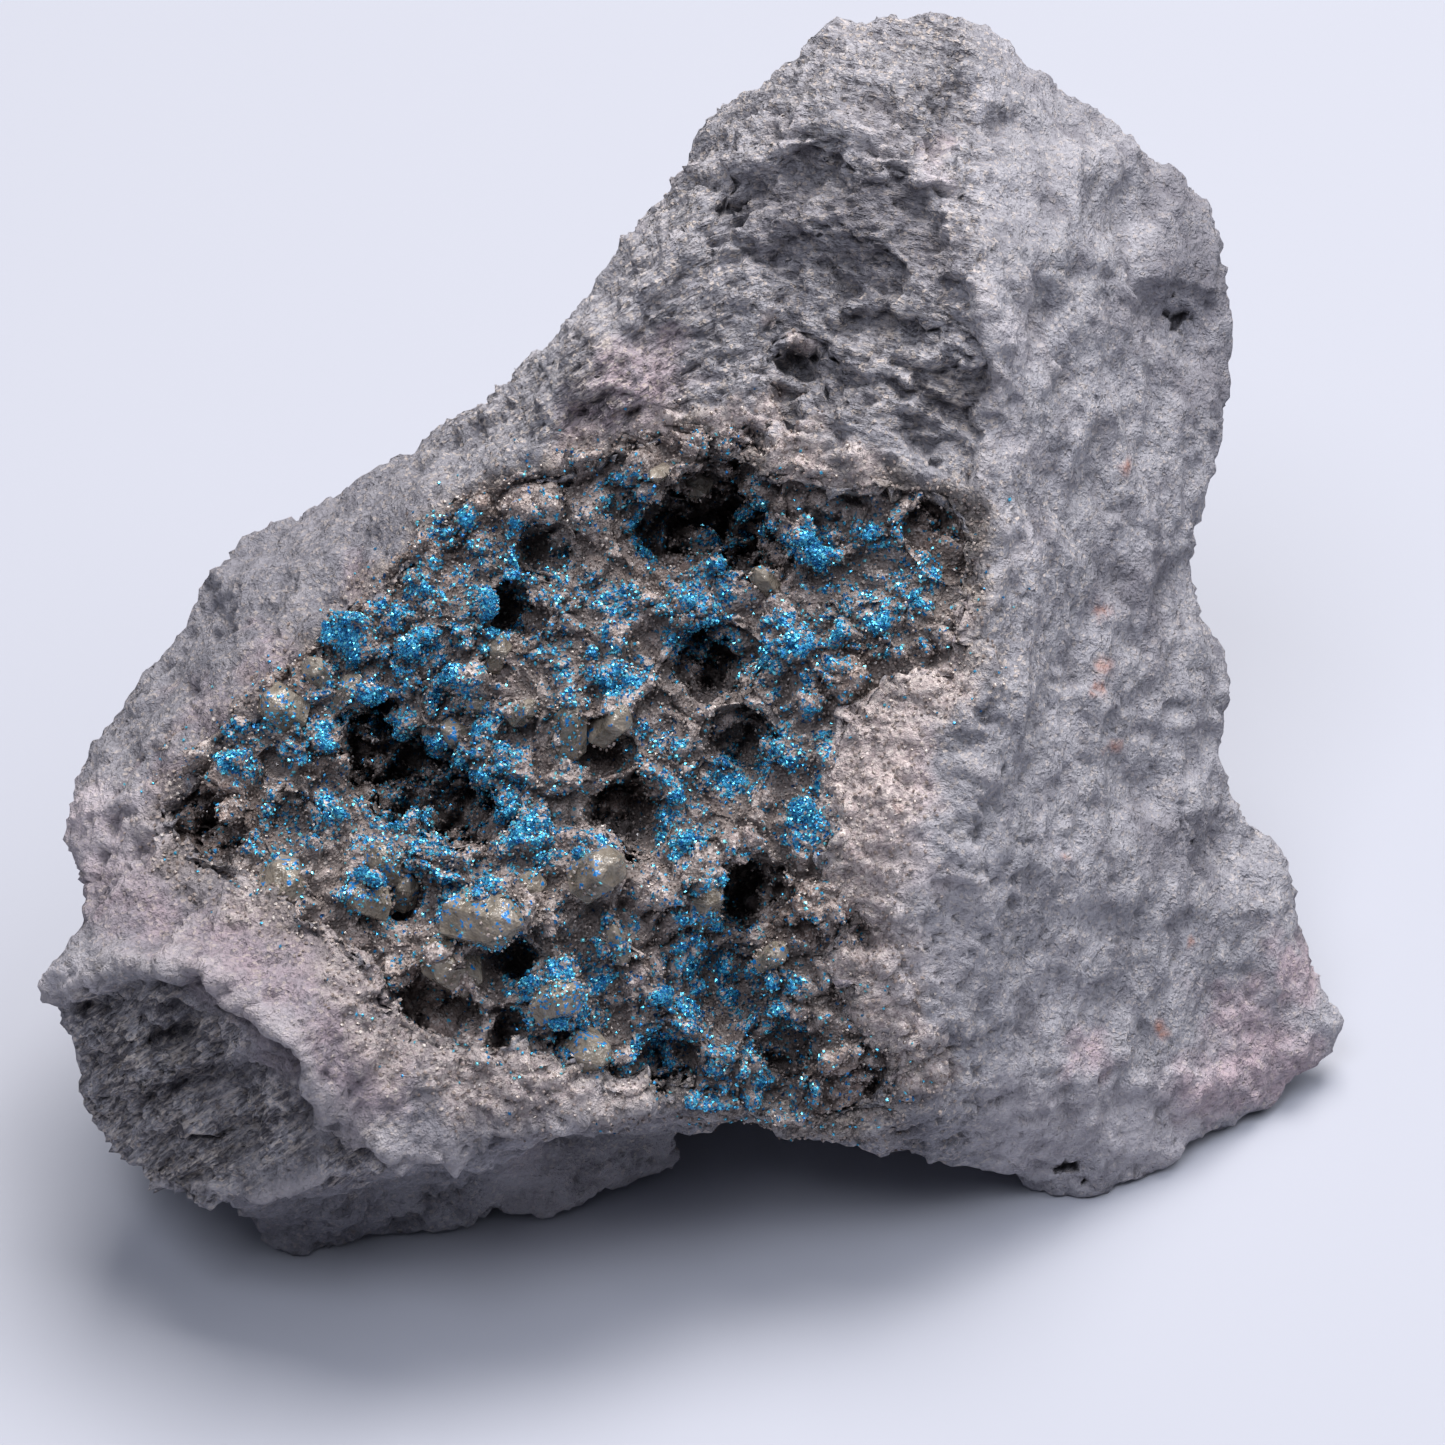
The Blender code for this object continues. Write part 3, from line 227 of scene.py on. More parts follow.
def ring_offsets(spots, ring):
    """For each spot, the way and the distance to a ring's nearest point, and whether it is inside."""
    a = np.array(ring, float)
    b = np.roll(a, -1, axis=0)
    step = b - a
    from_start = spots[:, None, :] - a[None, :, :]
    share = np.clip((from_start * step).sum(2) / (step * step).sum(1), 0.0, 1.0)
    away = share[..., None] * step - from_start
    nearest = (away * away).sum(2).argmin(1)
    x, y = spots[:, 0, None], spots[:, 1, None]
    straddles = (a[:, 1] > y) != (b[:, 1] > y)
    rise = np.where(a[:, 1] == b[:, 1], 1.0, b[:, 1] - a[:, 1])
    inside = (straddles & (x < a[:, 0] + (y - a[:, 1]) * (b[:, 0] - a[:, 0]) / rise)).sum(1) % 2 == 1
    ways = away[np.arange(len(spots)), nearest]
    return ways, np.sqrt((ways**2).sum(1)), inside


def front_share(glass, normals, least):
    """How much each point of the rock is on the side towards the eye, 0 to 1."""
    cells = np.clip(np.round(glass[:, :2] / 2.0).astype(int) + 40, 0, 79)
    nearest = np.full((80, 80), -1000.0)
    np.maximum.at(nearest, (cells[:, 0], cells[:, 1]), glass[:, 2])
    depth = nearest[cells[:, 0], cells[:, 1]] - glass[:, 2]
    return np.clip((9.0 - depth) / 3.0, 0.0, 1.0) * np.clip((normals @ SIGHT + least) / 0.3, 0.0, 1.0)


def patch(glass, spots, soft=0.5):
    """How much each point is in one of a list of round patches, 0 to 1."""
    share = np.zeros(len(glass))
    for right, up, radius in spots:
        far = np.sqrt(((glass[:, :2] - (right, up)) ** 2).sum(1)) / radius
        share = np.maximum(share, np.clip((1.0 + soft - far) / (2.0 * soft), 0.0, 1.0))
    return share * share * (3.0 - 2.0 * share)


def field(places, size, layers=2, stretch=(1.0, 1.0, 1.0), shift=0.0):
    """Smooth noise at each place, about -1 to 1, with lumps of a size in mm."""
    scaled = places / (np.array(stretch) * size) + shift
    return np.array([noise.fractal(Vector(p), 0.8, 2.1, layers) for p in scaled])


def wander_of(places, size, layers, first, second):
    """Two smooth noises at each place, one for the right and one for up."""
    return np.stack([field(places, size, layers, shift=shift) for shift in (first, second)], 1)


def shifted(glass, across):
    """Points on the glass, each moved to the right and up by numbers of its own."""
    moved = glass.copy()
    moved[:, :2] += across
    return moved


def upper_share(glass, wandered, edge):
    """How much each point is in the layered rock above the hollow, up to an edge on the right."""
    above = np.clip((glass[:, 1] - UPPER_START) / 3.0, 0.0, 1.0)
    return above * np.clip((edge - wandered[:, 0]) / 2.4, 0.0, 1.0)


def knobs(places, size, least, shift=0.0):
    """Rounded knobs packed side by side, of heights from least to 1, and the gaps between them."""
    scaled = places / size + shift
    height = np.zeros(len(places))
    gap = np.zeros(len(places))
    for i, place in enumerate(scaled):
        far, spots = noise.voronoi(Vector(place))
        tall = least + (1.0 - least) * 0.5 * (1.0 + noise.cell(spots[0] * 7.3))
        step = far[1] - far[0]
        height[i] = tall * math.sqrt(max(0.0, 1.0 - (far[0] / 0.85) ** 2)) * min(1.0, step * 3.0)
        gap[i] = max(0.0, 1.0 - step * 2.6)
    return height, gap


def places_of(mesh):
    """The vertices of a mesh, in millimetres."""
    flat = np.empty(len(mesh.vertices) * 3, np.float32)
    mesh.vertices.foreach_get("co", flat)
    return flat.reshape(-1, 3).astype(float) / MM


def normals_of(mesh):
    """The normals of a mesh's vertices."""
    flat = np.empty(len(mesh.vertices) * 3, np.float32)
    mesh.vertices.foreach_get("normal", flat)
    return flat.reshape(-1, 3).astype(float)


def put_places(mesh, places):
    """Moves the vertices of a mesh to places in millimetres."""
    mesh.vertices.foreach_set("co", (places * MM).astype(np.float32).ravel())
    mesh.update()


def put_attribute(mesh, name, values):
    """Stores one number for each vertex."""
    layer = mesh.attributes.new(name, "FLOAT", "POINT")
    layer.data.foreach_set("value", values.astype(np.float32))


def values_of(mesh, name):
    """The numbers stored on a mesh's vertices under a name, or zeros."""
    values = np.zeros(len(mesh.vertices), np.float32)
    if name in mesh.attributes:
        mesh.attributes[name].data.foreach_get("value", values)
    return values.astype(float)


def add_object(name, mesh):
    """An object in the scene for a mesh."""
    made = bpy.data.objects.new(name, mesh)
    bpy.context.scene.collection.objects.link(made)
    return made


def applied(thing):
    """Replaces an object's mesh by what its modifiers make of it."""
    bpy.context.view_layer.update()
    graph = bpy.context.evaluated_depsgraph_get()
    mesh = bpy.data.meshes.new_from_object(thing.evaluated_get(graph))
    thing.modifiers.clear()
    thing.data = mesh
    return thing


def mesh_from(sculpt, name):
    """A mesh of what has been built; the workings are freed."""
    mesh = bpy.data.meshes.new(name)
    sculpt.to_mesh(mesh)
    sculpt.free()
    return mesh


def welded_copy(node, name):
    """A copy of a solid's mesh with its corners joined."""
    sculpt = bmesh.new()
    sculpt.from_mesh(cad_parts[node].data)
    bmesh.ops.remove_doubles(sculpt, verts=sculpt.verts, dist=1e-7)
    return add_object(name, mesh_from(sculpt, name))


def refined(thing, voxel, rounds):
    """Cuts an object's mesh into small even faces and wears off the corners of the old ones."""
    remesh = thing.modifiers.new("small faces", "REMESH")
    remesh.mode = "VOXEL"
    remesh.voxel_size = voxel * MM
    smooth = thing.modifiers.new("smoothing", "SMOOTH")
    smooth.factor = 0.5
    smooth.iterations = rounds
    return applied(thing)


def thinned(thing, triangles):
    """Collapses an object's mesh to a number of triangles, if it has more."""
    thing.data.calc_loop_triangles()
    count = len(thing.data.loop_triangles)
    if count > triangles:
        decimate = thing.modifiers.new("thinned", "DECIMATE")
        decimate.ratio = triangles / count
        applied(thing)
    thing.data.shade_smooth()
    return thing


def streak_places(glass):
    """Places for streaks: along them, across them and into the glass, turning from the left to the right."""
    left = -1.5 * np.log1p(np.exp(np.clip(-(glass[:, 0] - 1.0) / 1.5, -30.0, 30.0)))
    bent = -0.16 * glass[:, 0] + 0.85 * left
    across = glass[:, 1] - bent
    return np.stack([glass[:, 0] + 0.3 * across, across, glass[:, 2]], 1)


def ledge_heights(spots):
    """How far the ledges stand out or fall back at each spot on the glass, in millimetres."""
    heights = np.zeros(len(spots))
    for right, up, right_end, up_end, reach, fade in LEDGES:
        along = np.array((right_end - right, up_end - up))
        length = np.linalg.norm(along)
        along = along / length
        from_start = spots - (right, up)
        travelled = from_start @ along
        above = from_start @ np.array((-along[1], along[0]))
        beyond = np.maximum(np.maximum(-travelled, travelled - length), 0.0)
        share = np.exp(-np.abs(above + 0.12) / fade) * np.exp(-((beyond / 0.7) ** 2))
        heights += reach * np.clip((above + 0.12) / 0.26, -1.15, 0.85) * share
    return np.clip(heights, -1.3, 0.9)


def crest_heights(spots):
    """How far the crests stand out at each spot on the glass, in millimetres."""
    heights = np.zeros(len(spots))
    for crest in CRESTS:
        for start, end in zip(crest, crest[1:]):
            along = np.array(end) - start
            from_start = spots - start
            share = np.clip(from_start @ along / (along @ along), 0.0, 1.0)
            far = np.sqrt(((from_start - share[:, None] * along) ** 2).sum(1))
            heights = np.maximum(heights, np.exp(-far / 0.8))
    return 0.5 * heights


def hole_depths(glass):
    """How deep the holes go at each point, in millimetres."""
    wander = wander_of(glass, 1.0, 3, 51.0, 57.0)
    depth = np.zeros(len(glass))
    for right, up, radius in HOLES:
        spots = glass[:, :2] + min(radius * (0.6 + radius), 1.7) * wander
        far = np.sqrt(((spots - (right, up)) ** 2).sum(1)) / radius
        share = np.clip((1.25 - far) / 0.65, 0.0, 1.0)
        depth = np.maximum(depth, (0.7 + 1.2 * radius**1.6) * share * share * (3.0 - 2.0 * share))
    return depth


def make_rock():
    """The rock with its fine relief."""
    rock = refined(welded_copy("matrix", "rock"), ROCK_VOXEL, 5)
    mesh = rock.data
    places, normals = places_of(mesh), normals_of(mesh)
    glass = onto_glass(places)
    facing = front_share(glass, normals, 0.0)

    _, far, inside = ring_offsets(glass[:, :2], HOLLOW)
    wander = wander_of(places, 1.6, 3, 11.0, 17.0)
    wandered = shifted(glass, 1.1 * wander)
    pale = patch(wandered, PALE, 0.45) * facing
    dark = patch(wandered, DARK, 0.5) * facing
    upper = upper_share(glass, wandered, 14.2) * facing
    layered = np.maximum(np.maximum(upper, dark), 0.25) * (1.0 - 0.85 * pale)

    streak = streak_places(glass + 0.5 * (wandered - glass))
    flank = np.clip((glass[:, 0] - FLANK_START) / 3.0, 0.0, 1.0) * facing
    lumps = 0.36 * field(places, 3.4, 3, shift=1.0) * (1.0 - 0.4 * flank)
    lumps += 0.13 * field(places, 1.3, 3, shift=4.0)
    step = streak[:, 1] / 1.35 + 1.3 * field(streak, 3.0, 3, (2.0, 1.0, 1.5), 5.0)
    part = step - np.floor(step)
    ledges = np.where(part < 0.78, part / 0.78, (1.0 - part) / 0.22)
    ledges = ledges * np.clip(0.45 + 1.2 * field(streak, 2.2, 2, (2.2, 1.0, 1.0), 9.0), 0.0, 1.2)
    pits = np.clip((field(streak, 1.6, 3, (1.3, 1.0, 1.0), 2.0) - 0.2) / 0.2, 0.0, 1.0)
    small_pits = np.clip((field(streak, 0.75, 3, (1.8, 1.0, 1.2), 6.0) - 0.22) / 0.2, 0.0, 1.0)
    crumbs = np.abs(field(places, 1.1, 3, shift=33.0))
    dense = np.clip(0.5 + 1.4 * field(places, 6.0, 2, shift=23.0), 0.15, 1.0)
    threads = np.abs(field(streak, 0.7, 3, (3.2, 1.0, 1.8), 13.0))
    dents = field(glass, 1.5, 3, (1.0, 2.2, 1.0), 19.0)
    height = lumps + (0.8 * ledges - 0.3) * layered - 0.7 * threads * layered + 0.34 * dents * flank
    height += (0.1 - 0.4 * crumbs) * (1.0 - 0.8 * pale) * (0.45 + 0.55 * np.maximum(upper, dark))
    spots = glass[:, :2] + 0.8 * wander_of(glass, 2.4, 2, 81.0, 83.0)
    height += (ledge_heights(spots) + crest_heights(spots)) * facing
    height -= (0.5 * pits * dense + 0.3 * small_pits) * (1.0 - 0.8 * pale) * (1.0 - 0.65 * flank)
    sugary = np.flatnonzero(pale > 0.02)
    large_knobs, _ = knobs(places[sugary], 1.2, 0.05, 2.0)
    small_knobs, _ = knobs(places[sugary], 0.6, 0.1, 7.0)
    height[sugary] += (0.85 * large_knobs + 0.4 * small_knobs - 0.6) * pale[sugary]
    near = np.clip(1.0 - far / RIM_REACH, 0.0, 1.0)
    scallop = near[:, None] * (0.8 * wander + 0.9 * wander_of(places, 0.9, 2, 27.0, 29.0))
    sunk = RIM_FALL * near**1.5 * facing * (1.0 - 0.75 * pale)
    floor_sunk = inside * facing * 0.8 * np.clip(far - 0.6, 0.0, 1.0)
    holes = hole_depths(glass) * facing
    move = normals * (height * (1.0 - 0.8 * inside * facing))[:, None]
    move -= SIGHT * (sunk + floor_sunk + holes)[:, None]
    moved = from_glass(shifted(onto_glass(places + move), scallop * facing[:, None]))
    moved[:, 2] = np.where(places[:, 2] < 0.3, np.maximum(moved[:, 2], places[:, 2]), moved[:, 2])
    moved[:, 2] = np.maximum(moved[:, 2], 0.0)
    put_places(mesh, moved)
    put_attribute(mesh, "height", height - lumps)
    put_attribute(mesh, "hole", np.clip(holes / DEEP_HOLE, 0.0, 1.0))
    thinned(rock, ROCK_TRIANGLES)

    mesh = rock.data
    places, normals = places_of(mesh), normals_of(mesh)
    glass = onto_glass(places)
    facing = front_share(glass, normals, 0.15)
    wander = wander_of(places, 2.2, 3, 11.0, 17.0)
    wandered = shifted(glass, 1.4 * wander)
    _, far, _ = ring_offsets(glass[:, :2], HOLLOW)
    elsewhere = np.clip(field(places, 7.0, 2, shift=21.0) * 1.6 - 0.35, 0.0, 1.0)
    rim = np.clip(1.3 - far / 1.6 + 0.9 * wander[:, 0], 0.0, 1.0) * facing
    upper = upper_share(glass, wandered, 14.6) * facing
    pale = patch(wandered, PALE, 0.45) * facing
    dark = patch(wandered, DARK, 0.5) * facing
    painted_light = patch(wandered, PAINTED_LIGHT_PATCHES)
    # Painted shade: the left side is darkened as if the light came from the right.
    left = np.clip((-10.0 - glass[:, 0]) / 8.0, 0.0, 1.0) * (1.0 - dark)
    close = np.clip(1.6 - far / 1.8 + 0.8 * wander[:, 1], 0.0, 1.0) * facing
    shares = {
        "pink": np.maximum(patch(wandered, PINK, 0.6) * facing, elsewhere * (1.0 - facing)),
        "pale": pale,
        "rim": rim * (1.0 - 0.6 * pale),
        "sugar": np.maximum(0.6 * pale, 0.8 * rim),
        "calm": np.clip((far - 2.5) / 4.0, 0.0, 1.0) * (1.0 - dark) * (1.0 - upper) * (1.0 - pale),
        "painted_light": painted_light,
        "painted_shade": np.maximum(0.7 * left, patch(wandered, PAINTED_SHADE_PATCHES) * facing) * (1.0 - painted_light),
        "dark": dark,
        "rust": patch(glass + 0.3 * (wandered - glass), RUST, 0.6) * facing,
        "fibrous": np.maximum(np.maximum(upper, dark), 0.3) * (1.0 - 0.8 * pale),
        "blue": np.maximum(0.5 * patch(wandered, BLUE, 0.6), 0.05) * close,
        "flank": np.clip((glass[:, 0] - FLANK_START) / 2.0, 0.0, 1.0),
    }
    for name, share in shares.items():
        put_attribute(mesh, name, share)
    for name, vectors in (("streak", streak_places(glass)), ("glass", glass)):
        layer = mesh.attributes.new(name, "FLOAT_VECTOR", "POINT")
        layer.data.foreach_set("vector", vectors.astype(np.float32).ravel())
    return rock


def make_crust():
    """The crust, drawn out a little under the rock's edge, with its knobs, crevices and holes."""
    crust = welded_copy("crystal_crust", "crystal_crust_relief")
    places = places_of(crust.data)
    glass = onto_glass(places)
    to_ring, far, _ = ring_offsets(glass[:, :2], HOLLOW)
    push = np.clip(1.0 - (far - 0.5) / 0.6, 0.0, 1.0) * CRUST_SPREAD
    glass[:, :2] += to_ring / np.maximum(far, 1e-6)[:, None] * push[:, None]
    put_places(crust.data, from_glass(glass))
    refined(crust, CRUST_VOXEL, 1)

    mesh = crust.data
    places, normals = places_of(mesh), normals_of(mesh)
    glass = onto_glass(places)
    facing = np.clip((normals @ SIGHT) / 0.2, 0.0, 1.0)
    warped = places.copy()
    for axis, shift in enumerate((61.0, 67.0, 71.0)):
        warped[:, axis] += 0.45 * field(places, 1.3, 2, shift=shift)
    wide, wide_gap = knobs(warped, 2.6, 0.0, 3.0)
    middle, middle_gap = knobs(warped, 1.25, 0.05, 8.0)
    small, _ = knobs(warped, 0.6, 0.2, 5.0)
    height = 1.75 * wide + 1.05 * middle + 0.28 * small - 1.4
    crevice = np.clip(0.6 * wide_gap + 0.6 * middle_gap + 0.35 * (0.9 - wide - 0.6 * middle), 0.0, 1.0)
    holes = hole_depths(glass)
    move = normals * (height * facing)[:, None] * 0.6 + SIGHT * (height * facing)[:, None] * 0.4
    places += move - SIGHT * holes[:, None]
    put_places(mesh, places)
    put_attribute(mesh, "crevice", crevice)
    put_attribute(mesh, "hole", np.clip(holes / DEEP_HOLE, 0.0, 1.0))
    thinned(crust, CRUST_TRIANGLES)
    return crust


def crystal_mesh(name, sides, waist, tip, bevel):
    """A crystal one unit across and about one high, with flat sides and a point, standing on z = 0."""
    sculpt = bmesh.new()
    rings = []
    for level, radius in ((0.0, 0.5 * waist), (1.0 - tip, 0.5)):
        rings.append([
            sculpt.verts.new((
                radius * math.cos(2.0 * math.pi * k / sides),
                radius * math.sin(2.0 * math.pi * k / sides),
                level,
            ))
            for k in range(sides)
        ])
    top = sculpt.verts.new((0.06, 0.04, 1.0))
    sculpt.faces.new(rings[0][::-1])
    for k in range(sides):
        after = (k + 1) % sides
        sculpt.faces.new((rings[0][k], rings[0][after], rings[1][after], rings[1][k]))
        sculpt.faces.new((rings[1][k], rings[1][after], top))
    bmesh.ops.bevel(sculpt, geom=sculpt.edges[:], offset=bevel, segments=1, affect="EDGES")
    return mesh_from(sculpt, name)


def grain_mesh(name, sides, waist):
    """A grain of one unit with flat sides that meet in a point at both ends, the lower one at z = 0."""
    sculpt = bmesh.new()
    ring = [
        sculpt.verts.new((
            0.5 * math.cos(2.0 * math.pi * k / sides),
            0.5 * math.sin(2.0 * math.pi * k / sides),
            waist + 0.1 * (k % 2),
        ))
        for k in range(sides)
    ]
    low = sculpt.verts.new((0.0, 0.0, 0.0))
    top = sculpt.verts.new((0.1, 0.06, 1.0))
    for k in range(sides):
        after = (k + 1) % sides
        sculpt.faces.new((ring[k], ring[after], top))
        sculpt.faces.new((ring[after], ring[k], low))
    return mesh_from(sculpt, name)


def make_large_crystals(crust):
    """The larger crystals, each standing in the crust on its own stretch."""
    sculpt = bmesh.new()
    sculpt.from_mesh(crust.data)
    tree = BVHTree.FromBMesh(sculpt)
    sculpt.free()
    built = bmesh.new()
    shape = crystal_mesh("large crystal", 6, 1.08, 0.3, 0.03)
    right_way = Vector((1.0, 0.0, 0.0))
    up_way = Vector((0.0, math.sin(LEAN), math.cos(LEAN)))
    out_way = Vector(SIGHT)
    for index, (right, up, radius, length, lean_right, lean_up, turn) in enumerate(LARGE_CRYSTALS):
        start = Vector(from_glass(np.array([(right, up, BEFORE_THE_ROCK)]))[0]) * MM
        sight = (Vector(from_glass(np.array([(right, up, 0.0)]))[0]) * MM - start).normalized()
        hit = tree.ray_cast(start, sight)[0]
        axis = out_way + right_way * math.tan(math.radians(lean_right))
        axis = axis + up_way * math.tan(math.radians(lean_up))
        turned = axis.normalized().to_track_quat("Z", "Y")
        before = len(built.verts)
        built.from_mesh(shape)
        built.verts.ensure_lookup_table()
        spin = math.radians(turn)
        for vertex in built.verts[before:]:
            local = vertex.co.copy()
            wobble = 1.0 + 0.14 * noise.noise(local * 1.3 + Vector((index * 5.1, 0.0, 0.0)))
            place = Vector((
                (local.x * math.cos(spin) - local.y * math.sin(spin)) * 2.0 * radius * wobble,
                (local.x * math.sin(spin) + local.y * math.cos(spin)) * 1.7 * radius * wobble,
                (local.z - 0.5) * length * wobble,
            ))
            vertex.co = hit + turned @ (place * MM)
    return add_object("large_crystals", mesh_from(built, "large_crystals"))


def add(tree, kind, settings=None, inputs=None):
    """Adds a node; each input is a value or the output socket that feeds it."""
    node = tree.nodes.new(kind)
    for key, value in (settings or {}).items():
        setattr(node, key, value)
    for key, value in (inputs or {}).items():
        if isinstance(value, bpy.types.NodeSocket):
            tree.links.new(value, node.inputs[key])
        else:
            node.inputs[key].default_value = value
    return node


def grain_tree():
    """Nodes that scatter a grain over a surface, as thickly as a named number on the surface says."""
    tree = bpy.data.node_groups.new("scattered grains", "GeometryNodeTree")
    sockets = {}
    tree.interface.new_socket("Geometry", in_out="OUTPUT", socket_type="NodeSocketGeometry")
    for label, kind in (
        ("Geometry", "Geometry"), ("Grain", "Object"), ("Mask", "String"), ("Spacing", "Float"),
        ("Most per square metre", "Float"), ("Least size", "Vector"), ("Most size", "Vector"),
        ("Lean", "Float"), ("Sink", "Float"), ("Seed", "Int"), ("Material", "Material"),
    ):
        made = tree.interface.new_socket(label, in_out="INPUT", socket_type="NodeSocket" + kind)
        sockets[label] = made.identifier
    given = add(tree, "NodeGroupInput").outputs

    mask = add(tree, "GeometryNodeInputNamedAttribute", {"data_type": "FLOAT"}, {"Name": given["Mask"]})
    points = add(tree, "GeometryNodeDistributePointsOnFaces", {"distribute_method": "POISSON"}, {
        "Mesh": given["Geometry"],
        "Distance Min": given["Spacing"],
        "Density Max": given["Most per square metre"],
        "Density Factor": mask.outputs["Attribute"],
        "Seed": given["Seed"],
    })
    tint = add(tree, "FunctionNodeRandomValue", {"data_type": "FLOAT"}, {"Seed": given["Seed"]})
    stored = add(tree, "GeometryNodeStoreNamedAttribute", {"data_type": "FLOAT"}, {
        "Geometry": points.outputs["Points"], "Name": "tint", "Value": tint.outputs["Value"],
    })
    size = add(tree, "FunctionNodeRandomValue", {"data_type": "FLOAT_VECTOR"}, {
        "Min": given["Least size"], "Max": given["Most size"],
    })
    grain = add(tree, "GeometryNodeObjectInfo", None, {"Object": given["Grain"]})
    copies = add(tree, "GeometryNodeInstanceOnPoints", None, {
        "Points": stored.outputs["Geometry"],
        "Instance": grain.outputs["Geometry"],
        "Rotation": points.outputs["Rotation"],
        "Scale": size.outputs["Value"],
    })
    lean = add(tree, "ShaderNodeCombineXYZ", None, {"X": given["Lean"], "Y": given["Lean"], "Z": math.pi})
    back = add(tree, "ShaderNodeVectorMath", {"operation": "SCALE"}, {
        "Vector": lean.outputs["Vector"], "Scale": -1.0,
    })
    turn = add(tree, "FunctionNodeRandomValue", {"data_type": "FLOAT_VECTOR"}, {
        "Min": back.outputs["Vector"], "Max": lean.outputs["Vector"],
    })
    turned = add(tree, "GeometryNodeRotateInstances", None, {
        "Instances": copies.outputs["Instances"], "Rotation": turn.outputs["Value"],
    })
    down = add(tree, "ShaderNodeCombineXYZ", None, {"Z": given["Sink"]})
    sunk = add(tree, "GeometryNodeTranslateInstances", None, {
        "Instances": turned.outputs["Instances"], "Translation": down.outputs["Vector"],
    })
    real = add(tree, "GeometryNodeRealizeInstances", None, {"Geometry": sunk.outputs["Instances"]})
    coated = add(tree, "GeometryNodeSetMaterial", None, {
        "Geometry": real.outputs["Geometry"], "Material": given["Material"],
    })
    add(tree, "NodeGroupOutput", None, {0: coated.outputs["Geometry"]})
    return tree, sockets


GRAINS, GRAIN_SOCKETS = grain_tree()


def scatter(name, host, shape, material, mask, spacing, least, most, lean, sink, seed):
    """A plain mesh of grains scattered on a host; lengths in millimetres, the lean in degrees."""
    grain = add_object(name + " grain", shape)
    scatterer = host.modifiers.new("grains", "NODES")
    scatterer.node_group = GRAINS
    values = {
        "Grain": grain,
        "Mask": mask,
        "Spacing": spacing * MM,
        "Most per square metre": 5.0 / (spacing * MM) ** 2,
        "Least size": [value * MM for value in least],
        "Most size": [value * MM for value in most],
        "Lean": math.radians(lean),
        "Sink": -sink * MM,
        "Seed": seed,
        "Material": material,
    }
    for label, value in values.items():
        scatterer[GRAIN_SOCKETS[label]] = value
    bpy.context.view_layer.update()
    graph = bpy.context.evaluated_depsgraph_get()
    mesh = bpy.data.meshes.new_from_object(host.evaluated_get(graph))
    host.modifiers.remove(scatterer)
    bpy.data.objects.remove(grain)
    mesh.shade_flat()
    mesh.name = name
    return add_object(name, mesh)


def colour(text):
    """A hex colour of the screen as linear red, green, blue and alpha."""
    parts = [int(text[i:i + 2], 16) / 255.0 for i in (1, 3, 5)]
    return tuple(p / 12.92 if p <= 0.04045 else ((p + 0.055) / 1.055) ** 2.4 for p in parts) + (1.0,)


def new_material(name, roughness, specular=0.5):
    """A material, its node tree, its shader and the place on the piece in millimetres."""
    material = bpy.data.materials.new(name)
    material.use_nodes = True
    tree = material.node_tree
    shader = tree.nodes["Principled BSDF"]
    shader.inputs["Roughness"].default_value = roughness
    shader.inputs["Specular IOR Level"].default_value = specular
    spot = add(tree, "ShaderNodeTexCoord").outputs["Object"]
    place = add(tree, "ShaderNodeVectorMath", {"operation": "SCALE"}, {0: spot, "Scale": 1000.0})
    return material, tree, shader, place.outputs[0]


def noise_of(tree, place, size, detail=3.0, rough=0.6, stretch=None, swirl=0.0):
    """Noise with lumps of a size in mm, 0 to 1, drawn out into curls by a swirl."""
    if stretch:
        place = add(tree, "ShaderNodeVectorMath", {"operation": "DIVIDE"}, {0: place, 1: stretch}).outputs[0]
    made = add(tree, "ShaderNodeTexNoise", None, {
        "Vector": place, "Scale": 1.0 / size, "Detail": detail, "Roughness": rough, "Distortion": swirl,
    })
    return made.outputs["Fac"]


def grains_of(tree, place, size):
    """A random number for each small grain, the distance from its middle, and a second number."""
    made = add(tree, "ShaderNodeTexVoronoi", None, {"Vector": place, "Scale": 1.0 / size, "Randomness": 1.0})
    split = add(tree, "ShaderNodeSeparateColor", None, {"Color": made.outputs["Color"]})
    return split.outputs[0], made.outputs["Distance"], split.outputs[1]


def attribute_of(tree, name, kind="Fac"):
    """A number stored on the mesh, or with the kind Vector a place."""
    return add(tree, "ShaderNodeAttribute", {"attribute_name": name}).outputs[kind]


def remap(tree, value, low, high, to_low=0.0, to_high=1.0):
    """Stretches a number from one range to another, held within it."""
    return add(tree, "ShaderNodeMapRange", None, {
        "Value": value, "From Min": low, "From Max": high, "To Min": to_low, "To Max": to_high,
    }).outputs["Result"]


def times(tree, a, b):
    """One number by another."""
    return add(tree, "ShaderNodeMath", {"operation": "MULTIPLY"}, {0: a, 1: b}).outputs[0]


def is_less(tree, value, limit):
    """1 where a number is less than a limit, else 0."""
    return add(tree, "ShaderNodeMath", {"operation": "LESS_THAN"}, {0: value, 1: limit}).outputs[0]


def between(tree, share, first, second):
    """A number that goes from the first to the second as the share goes from 0 to 1."""
    return add(tree, "ShaderNodeMix", {"data_type": "FLOAT"}, {0: share, 2: first, 3: second}).outputs[0]


def blend(tree, share, first, second):
    """A mix of two colours; each is a hex text or a socket."""
    mixed = add(tree, "ShaderNodeMix", {"data_type": "RGBA"}, {"Factor": share})
    for socket, value in ((mixed.inputs[6], first), (mixed.inputs[7], second)):
        if isinstance(value, str):
            socket.default_value = colour(value)
        else:
            tree.links.new(value, socket)
    return mixed.outputs[2]


